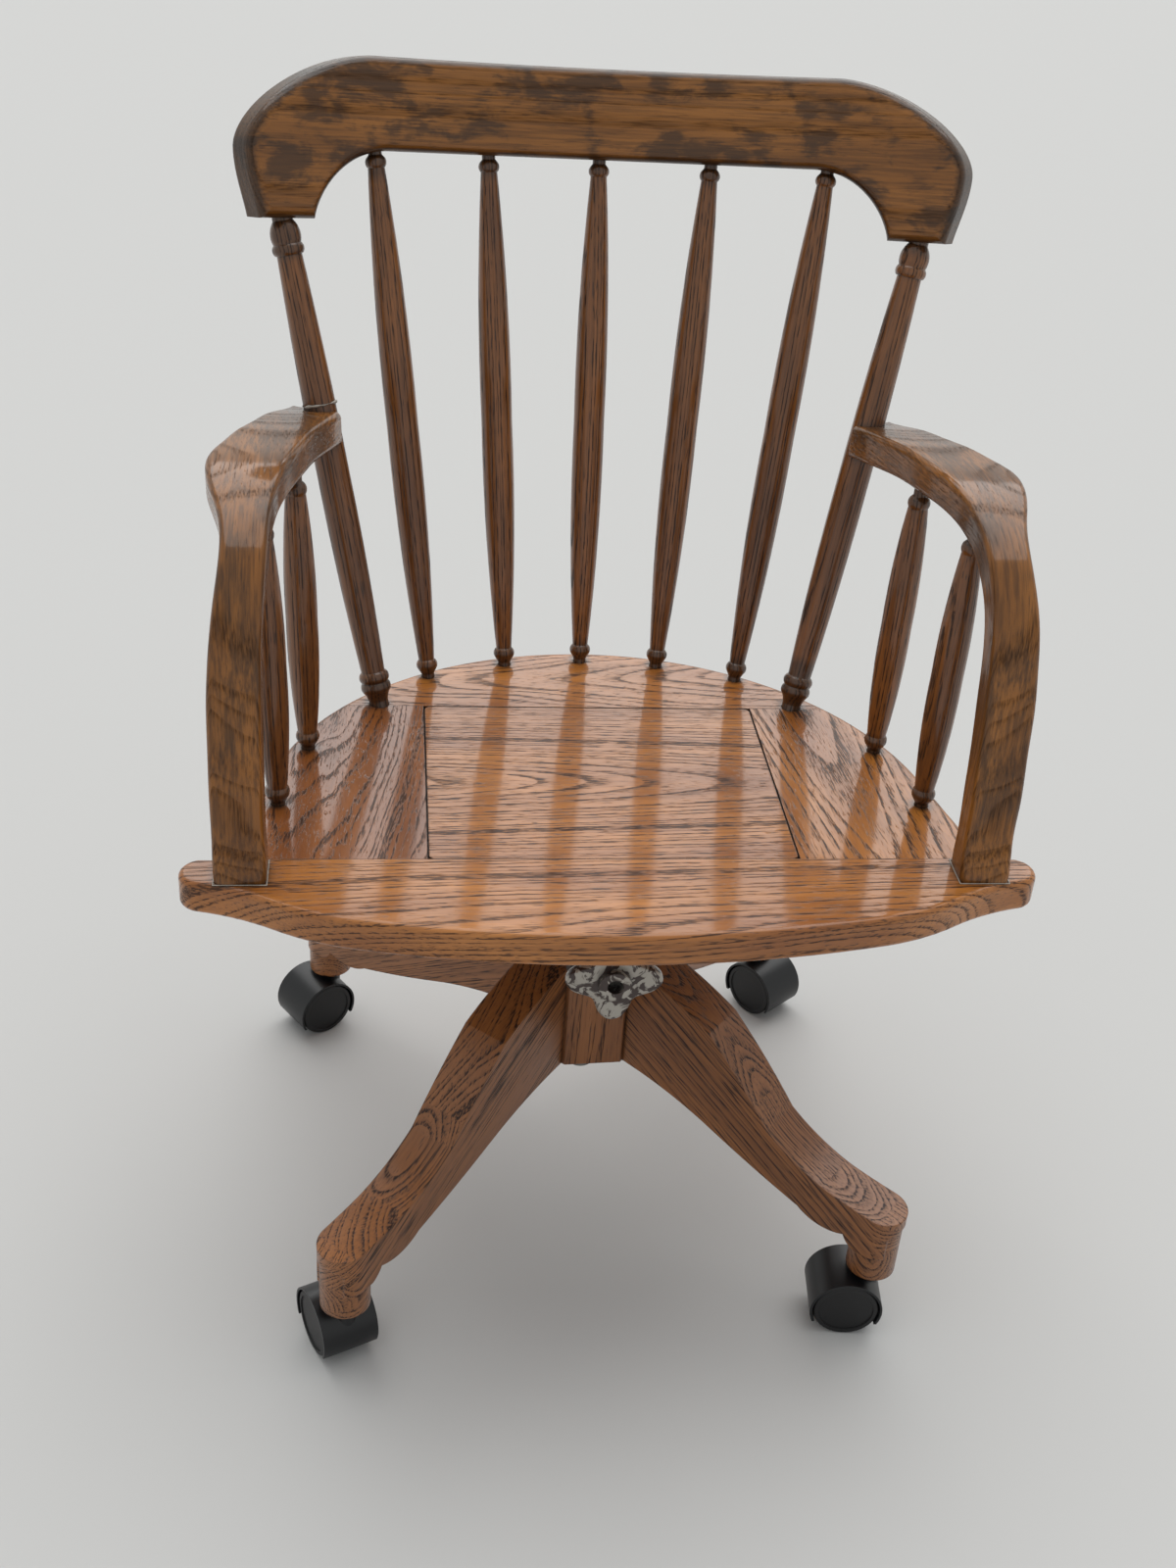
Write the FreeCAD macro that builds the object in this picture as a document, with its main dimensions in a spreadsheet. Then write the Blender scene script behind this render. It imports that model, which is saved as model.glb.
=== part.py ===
import FreeCAD, Part
import math
import os

import Sketcher
from FreeCAD import Placement, Rotation, Vector

# A wooden bankers chair: a spindle back and bent arms on a solid seat, a sprung tilt
# mechanism on a height screw, and a four-legged pedestal on twin-wheel casters.
# Millimetres. X runs to the sitter's left, Y to the back of the chair, Z up.
# Everything is laid out about the swivel axis and moved to the row's origin at the end.

SIZES = {
    # Seat boards
    "seat_top": 414, "seat_thick": 28, "seat_front": 218, "seat_back": 220,
    "seat_side_x": 270, "seat_side_y": 0, "front_arc_x": 200, "front_arc_drop": 22,
    "front_arc_slope": 13, "ear_root_x": 315, "ear_front_y": 149, "ear_back_y": 116,
    "side_flare": 0.207, "ear_corner": 11, "seat_round": 5,
    "panel_half": 144, "panel_front_y": 118, "panel_back_y": 117,
    "groove_wide": 1.2, "groove_deep": 5, "panel_corner": 5,
    # Back
    "lean": 12.5, "crest_radius": 481, "crest_thick": 30, "crest_mid_y": 301,
    "crest_mid_rise": 423, "crest_half": 289, "crest_top": 71, "crest_drop": 53,
    "crest_shoulder": 99, "crest_waist_w": 6, "crest_tip_in": 9, "crest_foot_wide": 42,
    "crest_arch_in": 60, "crest_front_round": 9, "crest_back_round": 5,
    "post_foot_x": 182, "post_foot_y": 121, "post_top_in": 29.5, "post_belly": 13.6,
    "post_shaft": 10.2, "post_bead": 13, "post_neck": 8.2, "post_tenon_long": 20,
    "spindle_step": 69.5, "spindle_top_in": 102, "spindle_foot_y": 204,
    "spindle_sweep": 300, "spindle_belly": 13.4, "spindle_waist": 6.9, "spindle_bead": 9.4,
    "spindle_tenon": 5.6, "spindle_tenon_long": 16,
    # Arms
    "arm_rise": 267, "arm_run": 380, "arm_close": 62, "arm_thick": 27, "arm_round": 5,
    "arm_foot_inset": 52, "arm_foot_wide": 37, "arm_set_back": 1, "arm_spare": 8,
    "arm_spindle_rear_in": 23, "arm_spindle_rear_y": 194, "arm_spindle_front_in": 3,
    "arm_spindle_front_y": 108, "arm_spindle_out": 6, "arm_spindle_back": 10,
    "arm_spindle_belly": 12.6, "arm_spindle_waist": 8, "arm_spindle_bead": 9.7,
    "arm_dip": 6,
    # Pedestal
    "hub_flats": 118, "hub_bottom": 158, "hub_top": 262, "leg_wide": 42, "leg_round": 3,
    "foot_reach": 310, "foot_pad": 20.5, "foot_floor": 63, "foot_nose": 22,
    "nose_low": 116, "base_turn": 3.2, "dowel_radius": 5, "dowel_long": 50,
    # Height screw
    "screw_radius": 12.5, "screw_bottom": 113, "sleeve_radius": 17, "sleeve_bottom": 151,
    "flange_radius": 28, "flange_thick": 3, "washer_thick": 3, "nut_radius": 25,
    "nut_tall": 18, "nut_gap": 0.3,
    # Tilt mechanism
    "plate_thick": 3, "plate_half": 55, "plate_reach": 115, "pivot_y": 4, "pivot_drop": 20,
    "pin_radius": 6, "wall_thick": 4, "channel_half": 26, "housing_front": 125,
    "housing_rear": 30, "housing_top": 372, "boss_radius": 20, "boss_tall": 14,
    "lever_half": 8, "lever_wide": 22, "lever_bottom": 306, "tension_z": 330,
    "spring_radius": 14, "spring_wire": 3.5, "spring_long": 70, "cup_thick": 6,
    "tension_radius": 6, "knob_face_y": 164, "knob_mean": 31, "knob_wave": 7,
    "knob_thick": 11, "knob_boss": 13, "knob_boss_out": 6, "knob_hole": 6.3,
    # Casters
    "wheel_radius": 27.5, "wheel_wide": 15, "web_half": 7.5, "hood_radius": 30.5,
    "hood_wall": 2, "hood_cut": 14, "trail": 18, "stem_radius": 5, "stem_long": 66,
    "axle_radius": 4, "axle_half": 20, "stem_boss": 9, "socket_radius": 7,
    "socket_long": 38, "socket_flange": 11, "socket_lip": 1.2,
    # Fasteners and fits
    "seat_screw": 2.5, "seat_screw_head": 5, "seat_screw_long": 18, "arm_screw": 3,
    "arm_screw_head": 6, "arm_screw_long": 50, "glue_gap": 0.1, "run_gap": 0.05,
    "face_gap": 0.3,
}

SIDES = {"left": -1, "right": 1}
CASTER_HEADINGS = {"front_left": 114, "front_right": 174, "back_left": 214, "back_right": -52}
LEG_BEARINGS = {"front_left": 225, "front_right": 315, "back_left": 135, "back_right": 45}


class Size:
    """A number that also carries the spreadsheet formula that gives it."""

    def __init__(self, value, formula):
        self.value = float(value)
        self.formula = formula

    def joined(self, other, sign, value):
        return Size(value, f"({self.formula} {sign} {other.formula})")

    def __add__(self, other):
        other = as_size(other)
        return self.joined(other, "+", self.value + other.value)

    def __sub__(self, other):
        other = as_size(other)
        return self.joined(other, "-", self.value - other.value)

    def __mul__(self, other):
        other = as_size(other)
        return self.joined(other, "*", self.value * other.value)

    def __truediv__(self, other):
        other = as_size(other)
        return self.joined(other, "/", self.value / other.value)

    def __rsub__(self, other):
        return as_size(other) - self

    def __neg__(self):
        return Size(-self.value, f"(0 - {self.formula})")

    def __float__(self):
        return self.value


def as_size(number):
    """A plain number as a Size, and a Size as it is."""
    return number if isinstance(number, Size) else Size(number, repr(float(number)))


doc = FreeCAD.newDocument("bankers_chair")
sheet = doc.addObject("Spreadsheet::Sheet", "sizes")
for row, (alias, number) in enumerate(SIZES.items(), start=1):
    sheet.set(f"A{row}", alias)
    sheet.set(f"B{row}", str(number))
    sheet.setAlias(f"B{row}", alias)
doc.recompute()


class Lookup:
    """Sizes by name, as lookup.seat_top."""

    def __getattr__(self, alias):
        return Size(SIZES[alias], f"sizes.{alias}")


s = Lookup()
pieces = []


def bind(thing, **properties):
    """Tie properties of a document object to the spreadsheet."""
    for name, size in properties.items():
        thing.setExpression(name, as_size(size).formula)


def at(x, y, z):
    return Vector(float(x), float(y), float(z))


def keep(thing, label):
    """Name a finished sub-part and list it for writing."""
    thing.Label = label
    pieces.append(thing)
    return thing


# Part Design helpers

def new_body(label):
    return keep(doc.addObject("PartDesign::Body", label), label)


def new_sketch(body, role, offset=None):
    """A sketch on one of the body's own origin planes, moved along its normal."""
    sketch = body.newObject("Sketcher::SketchObject", "sketch")
    plane = next(f for f in body.Origin.OriginFeatures if f.Role == role)
    sketch.AttachmentSupport = [(plane, "")]
    sketch.MapMode = "FlatFace"
    if offset is not None:
        sketch.setExpression("AttachmentOffset.Base.z", as_size(offset).formula)
    return sketch


def pin_point(constraints, formulas, geometry, end, coordinates):
    """Fix one end of an edge at its coordinates, each tied to its formula."""
    for kind, axis, coordinate in zip(("DistanceX", "DistanceY"), (-2, -1), coordinates):
        size = as_size(coordinate)
        if abs(size.value) < 1e-9:
            constraints.append(Sketcher.Constraint("PointOnObject", geometry, end, axis))
            continue
        if size.value > 0:
            ends = (-1, 1, geometry, end)
        else:
            ends = (geometry, end, -1, 1)
            size = -size
        formulas[len(constraints)] = size.formula
        constraints.append(Sketcher.Constraint(kind, *ends, size.value))


def end_number(sketch, geometry, point):
    """Which end of an edge, 1 or 2, lies at a point."""
    gap = (sketch.getPoint(geometry, 1) - point).Length
    return 1 if gap < (sketch.getPoint(geometry, 2) - point).Length else 2


def draw(sketch, corners, bulges=None):
    """A closed outline through corners; bulges names a point on each curved side."""
    bulges = bulges or {}
    points = [at(a, b, 0) for a, b in corners]
    edges = []
    for i, start in enumerate(points):
        finish = points[(i + 1) % len(points)]
        if i in bulges:
            edge = Part.Arc(start, at(*bulges[i], 0), finish)
        else:
            edge = Part.LineSegment(start, finish)
        edges.append(sketch.addGeometry(edge, False))
    constraints = []
    formulas = {}
    for i, edge in enumerate(edges):
        start = end_number(sketch, edge, points[i])
        before = edges[i - 1]
        finish = end_number(sketch, before, points[i])
        constraints.append(Sketcher.Constraint("Coincident", before, finish, edge, start))
        pin_point(constraints, formulas, edge, start, corners[i])
    numbers = sketch.addConstraint(constraints)
    for place, formula in formulas.items():
        sketch.setExpression(f"Constraints[{numbers[place]}]", formula)


def draw_circle(sketch, radius, a=0, b=0):
    """A circle tied to its radius and centre."""
    circle = Part.Circle(at(a, b, 0), Vector(0, 0, 1), float(radius))
    geometry = sketch.addGeometry(circle, False)
    constraints = [Sketcher.Constraint("Radius", geometry, float(radius))]
    formulas = {0: as_size(radius).formula}
    pin_point(constraints, formulas, geometry, 3, (a, b))
    numbers = sketch.addConstraint(constraints)
    for place, formula in formulas.items():
        sketch.setExpression(f"Constraints[{numbers[place]}]", formula)


def pad(body, sketch, length, both_ways=False):
    feature = body.newObject("PartDesign::Pad", "pad")
    feature.Profile = sketch
    bind(feature, Length=length)
    if both_ways:
        feature.SideType = "Symmetric"
    return feature


def pocket(body, sketch, length, reverse=False, both_ways=False):
    feature = body.newObject("PartDesign::Pocket", "pocket")
    feature.Profile = sketch
    bind(feature, Length=length)
    feature.Reversed = reverse
    if both_ways:
        feature.SideType = "Symmetric"
    return feature


def turned(label, corners, bulges=None, place=None):
    """A turned piece: half a profile, as radius and height, swept round the Z axis."""
    body = new_body(label)
    sketch = new_sketch(body, "XZ_Plane")
    draw(sketch, corners, bulges)
    revolution = body.newObject("PartDesign::Revolution", "revolution")
    revolution.Profile = sketch
    revolution.ReferenceAxis = (sketch, ["V_Axis"])
    revolution.Angle = 360
    if place is not None:
        body.Placement = place
    return body


def round_edges(body, base, radius, wanted):
    """Fillet the edges that a test picks out."""
    doc.recompute()
    names = [f"Edge{i}" for i, edge in enumerate(base.Shape.Edges, start=1) if wanted(edge)]
    fillet = body.newObject("PartDesign::Fillet", "fillet")
    fillet.Base = (base, names)
    bind(fillet, Radius=radius)
    return fillet


# Part helpers

def box(x, y, z, low):
    """A box from its three lengths and its low corner, tied to the sheet."""
    thing = doc.addObject("Part::Box", "box")
    bind(thing, Length=x, Width=y, Height=z)
    for axis, size in zip("xyz", low):
        thing.setExpression(f"Placement.Base.{axis}", as_size(size).formula)
    return thing


def cylinder(radius, height, base=Vector(), direction=Vector(0, 0, 1)):
    """A cylinder tied to its radius and height, from a point along a direction."""
    thing = doc.addObject("Part::Cylinder", "cylinder")
    bind(thing, Radius=radius, Height=height)
    thing.Placement = Placement(base, Rotation(Vector(0, 0, 1), direction))
    return thing


def cut(base, tools):
    """Base without its tools."""
    tool = tools[0]
    if len(tools) > 1:
        tool = doc.addObject("Part::MultiFuse", "tools")
        tool.Shapes = tools
    thing = doc.addObject("Part::Cut", "cut")
    thing.Base = base
    thing.Tool = tool
    return thing


def fuse(things):
    thing = doc.addObject("Part::MultiFuse", "fuse")
    thing.Shapes = things
    return thing


def common(first, second):
    thing = doc.addObject("Part::Common", "common")
    thing.Base = first
    thing.Tool = second
    return thing


def tangent_arc(start, heading, finish):
    """The arc that leaves start along heading, in degrees, and ends at finish."""
    along = Vector(math.cos(math.radians(heading)), math.sin(math.radians(heading)), 0)
    side = Vector(-along.y, along.x, 0)
    chord = finish - start
    radius = chord.Length ** 2 / (2 * chord.dot(side))
    centre = start + side * radius
    to_middle = (start + chord / 2 - centre).normalize() * abs(radius)
    if chord.dot(along) < 0:
        to_middle = -to_middle
    return Part.Arc(start, centre + to_middle, finish)


# Places shared by pieces that meet

seat_bottom = s.seat_top - s.seat_thick
lean_rad = math.radians(float(s.lean))
crest_up = Vector(0, math.sin(lean_rad), math.cos(lean_rad))
crest_back = Vector(0, math.cos(lean_rad), -math.sin(lean_rad))
crest_middle = at(0, s.crest_mid_y, s.seat_top + s.crest_mid_rise)
arm_inner = s.ear_root_x - s.arm_foot_inset
arm_front = s.arm_set_back - s.ear_front_y


def crest_point(x, w):
    """A point on the crest rail's bowed middle surface, w above its lower edge."""
    radius = float(s.crest_radius)
    bow = radius - math.sqrt(radius ** 2 - x ** 2)
    return crest_middle + Vector(x, 0, 0) - crest_back * bow + crest_up * w


def post_ends(side):
    """Foot on the seat and top at the crest rail's end, for the left or right post."""
    foot = at(side * float(s.post_foot_x), s.post_foot_y, s.seat_top)
    top_x = float(s.crest_half - s.post_top_in)
    top = crest_point(side * top_x, -float(s.crest_drop))
    return foot, top


def spindle_ends(number):
    """Foot and top of a back spindle, counted from the left, 1 to 5."""
    step = number - 3
    foot_x = step * float(s.spindle_step)
    bow = foot_x ** 2 / (2 * float(s.spindle_sweep))
    foot = at(foot_x, float(s.spindle_foot_y) - bow, s.seat_top)
    top = crest_point(step * float(s.crest_half - s.spindle_top_in) / 2, 0)
    return foot, top


def arm_spindle_ends(side, where):
    """Foot on the seat and top under the arm."""
    if where == "rear":
        inset, back = s.arm_spindle_rear_in, s.arm_spindle_rear_y
    else:
        inset, back = s.arm_spindle_front_in, s.arm_spindle_front_y
    foot = at(side * float(arm_inner - inset), arm_front + back, s.seat_top)
    tall = s.arm_rise - s.arm_thick - s.arm_dip
    lean = at(side * float(s.arm_spindle_out), s.arm_spindle_back, tall)
    return foot, foot + lean


def lined_up(foot, top):
    """The placement that stands a turned piece on foot, pointing at top."""
    return Placement(foot, Rotation(Vector(0, 0, 1), top - foot))


def socket(foot, top, radius, deep, at_top):
    """A socket for a tenon at one end of a turned piece, a little larger than it."""
    along = (top - foot).normalize()
    end = top if at_top else foot
    inward = along if at_top else -along
    start = end - inward * float(deep)
    return cylinder(radius + s.glue_gap, deep * 2 + 1, start, inward)


# Seat: four rails round a centre panel

def seat_outline():
    """Half the seat's edge from the front middle round to the back middle."""
    front = at(0, -s.seat_front, 0)
    arc_end = at(s.front_arc_x, s.front_arc_drop - s.seat_front, 0)
    slope = float(s.front_arc_slope)
    ear_front = at(s.ear_root_x, -s.ear_front_y, 0)
    ear_back = at(s.ear_root_x, -s.ear_back_y, 0)
    side = at(s.seat_side_x, s.seat_side_y, 0)
    down_side = Vector(float(s.side_flare), -1, 0).normalize()
    root = side + down_side * ((float(s.ear_back_y) + side.y) / -down_side.y)
    into_side = root - down_side * float(s.ear_corner)
    into_ear = root + Vector(float(s.ear_corner), 0, 0)
    half_ogee = (arc_end + ear_front) / 2
    bow_radius = (arc_end.x ** 2 + (arc_end.y - front.y) ** 2) / (2 * (arc_end.y - front.y))
    tilt = math.asin(arc_end.x / 2 / bow_radius)
    bow = Part.Arc(front, front + Vector(arc_end.x / 2, bow_radius * (1 - math.cos(tilt)), 0),
                   arc_end)
    back = at(0, s.seat_back, 0)
    return [
        bow.toShape(),
        tangent_arc(arc_end, slope, half_ogee).toShape(),
        tangent_arc(ear_front, slope + 180, half_ogee).toShape(),
        tangent_arc(ear_front, slope, ear_back).toShape(),
        Part.makeLine(ear_back, into_ear),
        tangent_arc(into_ear, 180, into_side).toShape(),
        Part.makeLine(into_side, side),
        tangent_arc(back, 0, side).toShape(),
    ]


def seat_blank():
    """The whole seat slab with its rounded edge, before it is parted into boards."""
    half = seat_outline()
    other = [edge.mirror(Vector(), Vector(1, 0, 0)) for edge in half]
    wire = Part.Wire(Part.__sortEdges__(half + other))
    face = Part.Face(wire)
    outline = doc.addObject("Part::Feature", "seat_outline")
    outline.Shape = face
    outline.Placement = Placement(at(0, 0, seat_bottom), Rotation())
    slab = doc.addObject("Part::Extrusion", "seat_slab")
    slab.Base = outline
    slab.Dir = Vector(0, 0, 1)
    slab.Solid = True
    bind(slab, LengthFwd=s.seat_thick)
    doc.recompute()
    rounded = doc.addObject("Part::Fillet", "seat_blank")
    rounded.Base = slab
    radius = float(s.seat_round)
    flat = [i for i, edge in enumerate(slab.Shape.Edges, start=1)
            if edge.BoundBox.ZLength < 1e-6]
    rounded.Edges = [(i, radius, radius) for i in flat]
    return rounded


def seat_boards():
    """The four rails and the centre panel, with the sockets for what stands on them."""
    blank = seat_blank()
    wide = s.ear_root_x * 2
    spare = s.seat_thick * 3
    low = seat_bottom - s.seat_thick
    rear_long = s.seat_back - s.panel_back_y + 10
    front_long = s.seat_front - s.panel_front_y + 10
    mid_long = s.panel_front_y + s.panel_back_y
    side_wide = s.ear_root_x - s.panel_half
    back = common(blank, box(wide, rear_long, spare, (-s.ear_root_x, s.panel_back_y, low)))
    front = common(blank, box(wide * 2, front_long, spare,
                              (-wide, -s.panel_front_y - front_long, low)))
    sockets = {"back": [], "left": [], "right": [], "front": []}
    for number in range(1, 6):
        ends = spindle_ends(number)
        sockets["back"].append(
            socket(*ends, s.spindle_tenon, s.spindle_tenon_long + 1, False))
    for name, side in SIDES.items():
        ends = post_ends(side)
        for board in ("back", name):
            sockets[board].append(socket(*ends, s.post_neck, s.post_tenon_long + 1, False))
        for where in ("rear", "front"):
            ends = arm_spindle_ends(side, where)
            sockets[name].append(
                socket(*ends, s.spindle_tenon, s.spindle_tenon_long + 1, False))
        foot = arm_screw_foot(side)
        sockets["front"].append(cylinder(s.arm_screw + s.run_gap, s.seat_thick * 2, foot))
        sockets["front"].append(cylinder(s.arm_screw_head + s.face_gap,
                                         s.arm_screw_head + s.face_gap,
                                         at(foot.x, foot.y, seat_bottom - s.face_gap)))
    keep(cut(back, sockets["back"]), "seat_back_rail")
    keep(cut(front, sockets["front"]), "seat_front_rail")
    for name, side in SIDES.items():
        start = s.panel_half if side > 0 else -s.ear_root_x
        board = common(blank, box(side_wide, mid_long, spare, (start, -s.panel_front_y, low)))
        keep(cut(board, sockets[name]), f"seat_{name}_rail")


def arm_screw_foot(side):
    """Where the screw through a seat ear into the arm starts, under the seat."""
    x = float(arm_inner + s.arm_foot_wide / 2)
    return at(side * x, arm_front + s.arm_thick / 2 + s.arm_set_back, seat_bottom)


def seat_screw_places():
    """The four screws that hold the mechanism's plate under the centre panel."""
    x = float(s.plate_half) - 2 * float(s.seat_screw_head)
    y = float(s.plate_reach) - 2 * float(s.seat_screw_head)
    return [(i * x, j * y) for i in (-1, 1) for j in (-1, 1)]


def center_panel():
    """A full-thickness panel whose upper part stands clear of the rails by a groove."""
    body = new_body("seat_center_panel")
    sketch = new_sketch(body, "XY_Plane", seat_bottom)
    half, front, back = s.panel_half, s.panel_front_y, s.panel_back_y
    draw(sketch, [(-half, -front), (half, -front), (half, back), (-half, back)])
    pad(body, sketch, s.seat_thick - s.groove_deep)
    upper = new_sketch(body, "XY_Plane", s.seat_top - s.groove_deep)
    gap, corner = s.groove_wide, s.panel_corner
    x, low, high = half - gap, front - gap / 3, back - gap
    mid = 1 - math.sqrt(0.5)
    draw(upper,
         [(corner - x, -low), (x - corner, -low), (x, corner - low), (x, high - corner),
          (x - corner, high), (corner - x, high), (-x, high - corner), (-x, corner - low)],
         {1: (x - corner * mid, corner * mid - low), 3: (x - corner * mid, high - corner * mid),
          5: (corner * mid - x, high - corner * mid), 7: (corner * mid - x, corner * mid - low)})
    last = pad(body, upper, s.groove_deep)
    doc.recompute()
    for x, y in seat_screw_places():
        screw = new_sketch(body, "XY_Plane", seat_bottom)
        draw_circle(screw, s.seat_screw + s.run_gap, x, y)
        last = pocket(body, screw, s.seat_screw_long, reverse=True)
    return last


# Back: crest rail, posts and spindles

def crest_outline(reach):
    """The crest rail's edge, spread along the bow's radii to a distance from its axis."""
    half, bend = float(s.crest_half), float(s.crest_shoulder)
    tip = half - float(s.crest_tip_in)
    foot = tip - float(s.crest_foot_wide)
    curl = float(s.crest_arch_in)
    shoulder, arch = half - bend, foot - curl
    waist, top, drop = float(s.crest_waist_w), float(s.crest_top), float(s.crest_drop)

    radius = float(s.crest_radius)
    axis_foot = crest_middle - crest_back * radius

    def place(x, w):
        spread = x * reach / math.sqrt(radius ** 2 - x ** 2)
        return axis_foot + crest_back * reach + Vector(spread, 0, 0) + crest_up * w

    def curve(handles):
        bezier = Part.BezierCurve()
        bezier.setPoles([place(x, w) for x, w in handles])
        return bezier.toShape()

    round_share = 0.4
    high, fall = top + waist * 0.2, drop - waist * 0.2
    shoulder_curve = [(shoulder, top), (shoulder + bend * round_share, top),
                      (half, top - high * (1 - round_share)), (half, -waist * 0.2)]
    end_curve = [(half, -waist * 0.2), (half, -waist * 0.2 - fall * 0.35),
                 (tip + (half - tip) * 0.3, -drop + fall * 0.3), (tip, -drop)]
    arch_curve = [(foot, -drop), (foot - curl * 0.06, -drop * 0.58), (foot - curl * 0.45, 0),
                  (arch, 0)]
    edges = []
    for side in (1, -1):
        edges += [curve([(side * x, w) for x, w in handles])
                  for handles in (shoulder_curve, end_curve, arch_curve)]
        edges.append(Part.makeLine(place(side * tip, -drop), place(side * foot, -drop)))
    edges.append(Part.makeLine(place(-shoulder, top), place(shoulder, top)))
    edges.append(Part.makeLine(place(-arch, 0), place(arch, 0)))
    return Part.__sortEdges__(edges)


def crest_rail():
    """A thick board cut to a yoke shape and bowed round the sitter's shoulders."""
    radius, thick = float(s.crest_radius), float(s.crest_thick)
    depth = radius * 0.4
    axis_foot = crest_middle - crest_back * radius
    wires = [Part.Wire(crest_outline(reach)) for reach in (radius - depth, radius + thick)]
    yoke = Part.makeLoft(wires, True, True)
    tall = float(s.crest_top) + float(s.crest_drop)
    ring_foot = axis_foot - crest_up * tall
    outer = Part.makeCylinder(radius + thick / 2, 3 * tall, ring_foot, crest_up)
    inner = Part.makeCylinder(radius - thick / 2, 3 * tall, ring_foot, crest_up)
    board = yoke.common(outer.cut(inner))
    board = board.Solids[0] if board.Solids else board
    front_faces = [f for f in board.Faces if isinstance(f.Surface, Part.Cylinder)
                   and abs(f.Surface.Radius - (radius - thick / 2)) < 1e-3]
    back_faces = [f for f in board.Faces if isinstance(f.Surface, Part.Cylinder)
                  and abs(f.Surface.Radius - (radius + thick / 2)) < 1e-3]
    board = board.makeFillet(float(s.crest_front_round), outer_edges(board, front_faces))
    back_faces = [f for f in board.Faces if isinstance(f.Surface, Part.Cylinder)
                  and abs(f.Surface.Radius - (radius + thick / 2)) < 1e-3]
    board = board.makeFillet(float(s.crest_back_round), outer_edges(board, back_faces))
    for number in range(1, 6):
        tool = socket(*spindle_ends(number), s.spindle_tenon, s.spindle_tenon_long + 1, True)
        doc.recompute()
        board = board.cut(tool.Shape)
    for side in SIDES.values():
        tool = socket(*post_ends(side), s.post_neck, s.post_tenon_long + 1, True)
        doc.recompute()
        board = board.cut(tool.Shape)
    thing = doc.addObject("Part::Feature", "crest_rail")
    thing.Shape = board.Solids[0]
    return keep(thing, "crest_rail")


def outer_edges(solid, faces):
    """The long outline edges of some faces, found again in their solid."""
    wanted = [edge for face in faces for edge in face.OuterWire.Edges]
    return [edge for edge in solid.Edges if any(edge.isSame(other) for other in wanted)]


def back_post(name, side):
    """A turned post with two rings at its foot, and a ring and a cup under the crest rail."""
    foot, top = post_ends(side)
    length = Size((top - foot).Length, repr((top - foot).Length))
    deep, end = s.post_tenon_long, s.post_tenon_long + length
    neck, ring_out, shaft, belly = s.post_neck, s.post_bead, s.post_shaft, s.post_belly
    groove = ring_out * 0.87
    middle = deep + length * 0.49
    foot_end, top_end = deep + 29.5, end - 28.5
    corners = [
        (0, 0), (neck, 0), (neck, deep + 3), (groove, deep + 11), (groove, deep + 20),
        (shaft, foot_end), (belly, middle), (shaft, top_end), (groove, top_end),
        (groove, end - 20), (neck * 1.08, end - 3), (neck, end - 2), (neck, end + deep),
        (0, end + deep),
    ]
    bulges = {
        2: (neck + (groove - neck) * 0.35, deep + 7), 3: (ring_out, deep + 15.5),
        4: (ring_out, deep + 24.5),
        5: (shaft * 0.47 + belly * 0.53 + 1.1, (foot_end + middle) / 2),
        6: (shaft * 0.47 + belly * 0.53 + 0.9, (middle + top_end) / 2),
        8: (ring_out, end - 24.3), 9: (ring_out * 0.93, end - 10.5),
    }
    start = foot - (top - foot).normalize() * float(deep)
    turned(f"back_post_{name}", corners, bulges, lined_up(start, top))


def spindle(label, foot, top, belly, waist, ring_out):
    """A turned spindle: a ring near each end and a long swell between them."""
    length = Size((top - foot).Length, repr((top - foot).Length))
    tenon, deep = s.spindle_tenon, s.spindle_tenon_long
    end, middle = deep + length, deep + length * 0.5
    low, high = deep + 15.7, end - 13
    corners = [
        (0, 0), (tenon, 0), (tenon, deep + 2.5), (ring_out * 0.9, deep + 7.5), (waist, low),
        (belly, middle), (waist, high), (ring_out * 0.82, end - 5.5), (tenon, end - 3),
        (tenon, end + deep), (0, end + deep),
    ]
    bulges = {
        3: (ring_out, deep + 11.3),
        4: ((waist + belly) / 2 + (belly - waist) * 0.36, (low + middle) / 2),
        5: ((waist + belly) / 2 + (belly - waist) * 0.36, (middle + high) / 2),
        6: (ring_out * 0.93, end - 9),
    }
    start = foot - (top - foot).normalize() * float(deep)
    turned(label, corners, bulges, lined_up(start, top))


def back_spindles():
    for number in range(1, 6):
        spindle(f"back_spindle_{number}", *spindle_ends(number), s.spindle_belly,
                s.spindle_waist, s.spindle_bead)


# Arms

def arm_stations():
    """Places along an arm: distance back, height of its outer face, inner and outer X."""
    run, rise, close = float(s.arm_run), float(s.arm_rise), float(s.arm_close)
    front, inner, spare = float(arm_front), float(arm_inner), float(s.arm_spare)
    outer = inner + float(s.arm_foot_wide)
    shares = [
        (0, 0, 0, -0.01), (0.024, 0.28, -0.01, -0.035), (0.05, 0.55, 0, -0.02),
        (0.074, 0.75, 0.032, 0.06), (0.116, 0.87, 0.073, 0.13), (0.184, 0.937, 0.089, 0.14),
        (0.263, 0.974, 0.113, 0.05), (0.376, 1, 0.226, -0.11), (0.482, 0.996, 0.355, -0.065),
        (0.639, 0.97, 0.532, 0.16), (0.784, 0.933, 0.742, 0.39), (0.921, 0.892, 0.903, 0.71),
        (1, 0.868, 1, 0.935),
    ]
    below = (front - spare * 0.14, -spare, inner, outer)
    return [below] + [(front + run * back, rise * up, inner - close * near,
                       outer - close * far) for back, up, near, far in shares]


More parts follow.
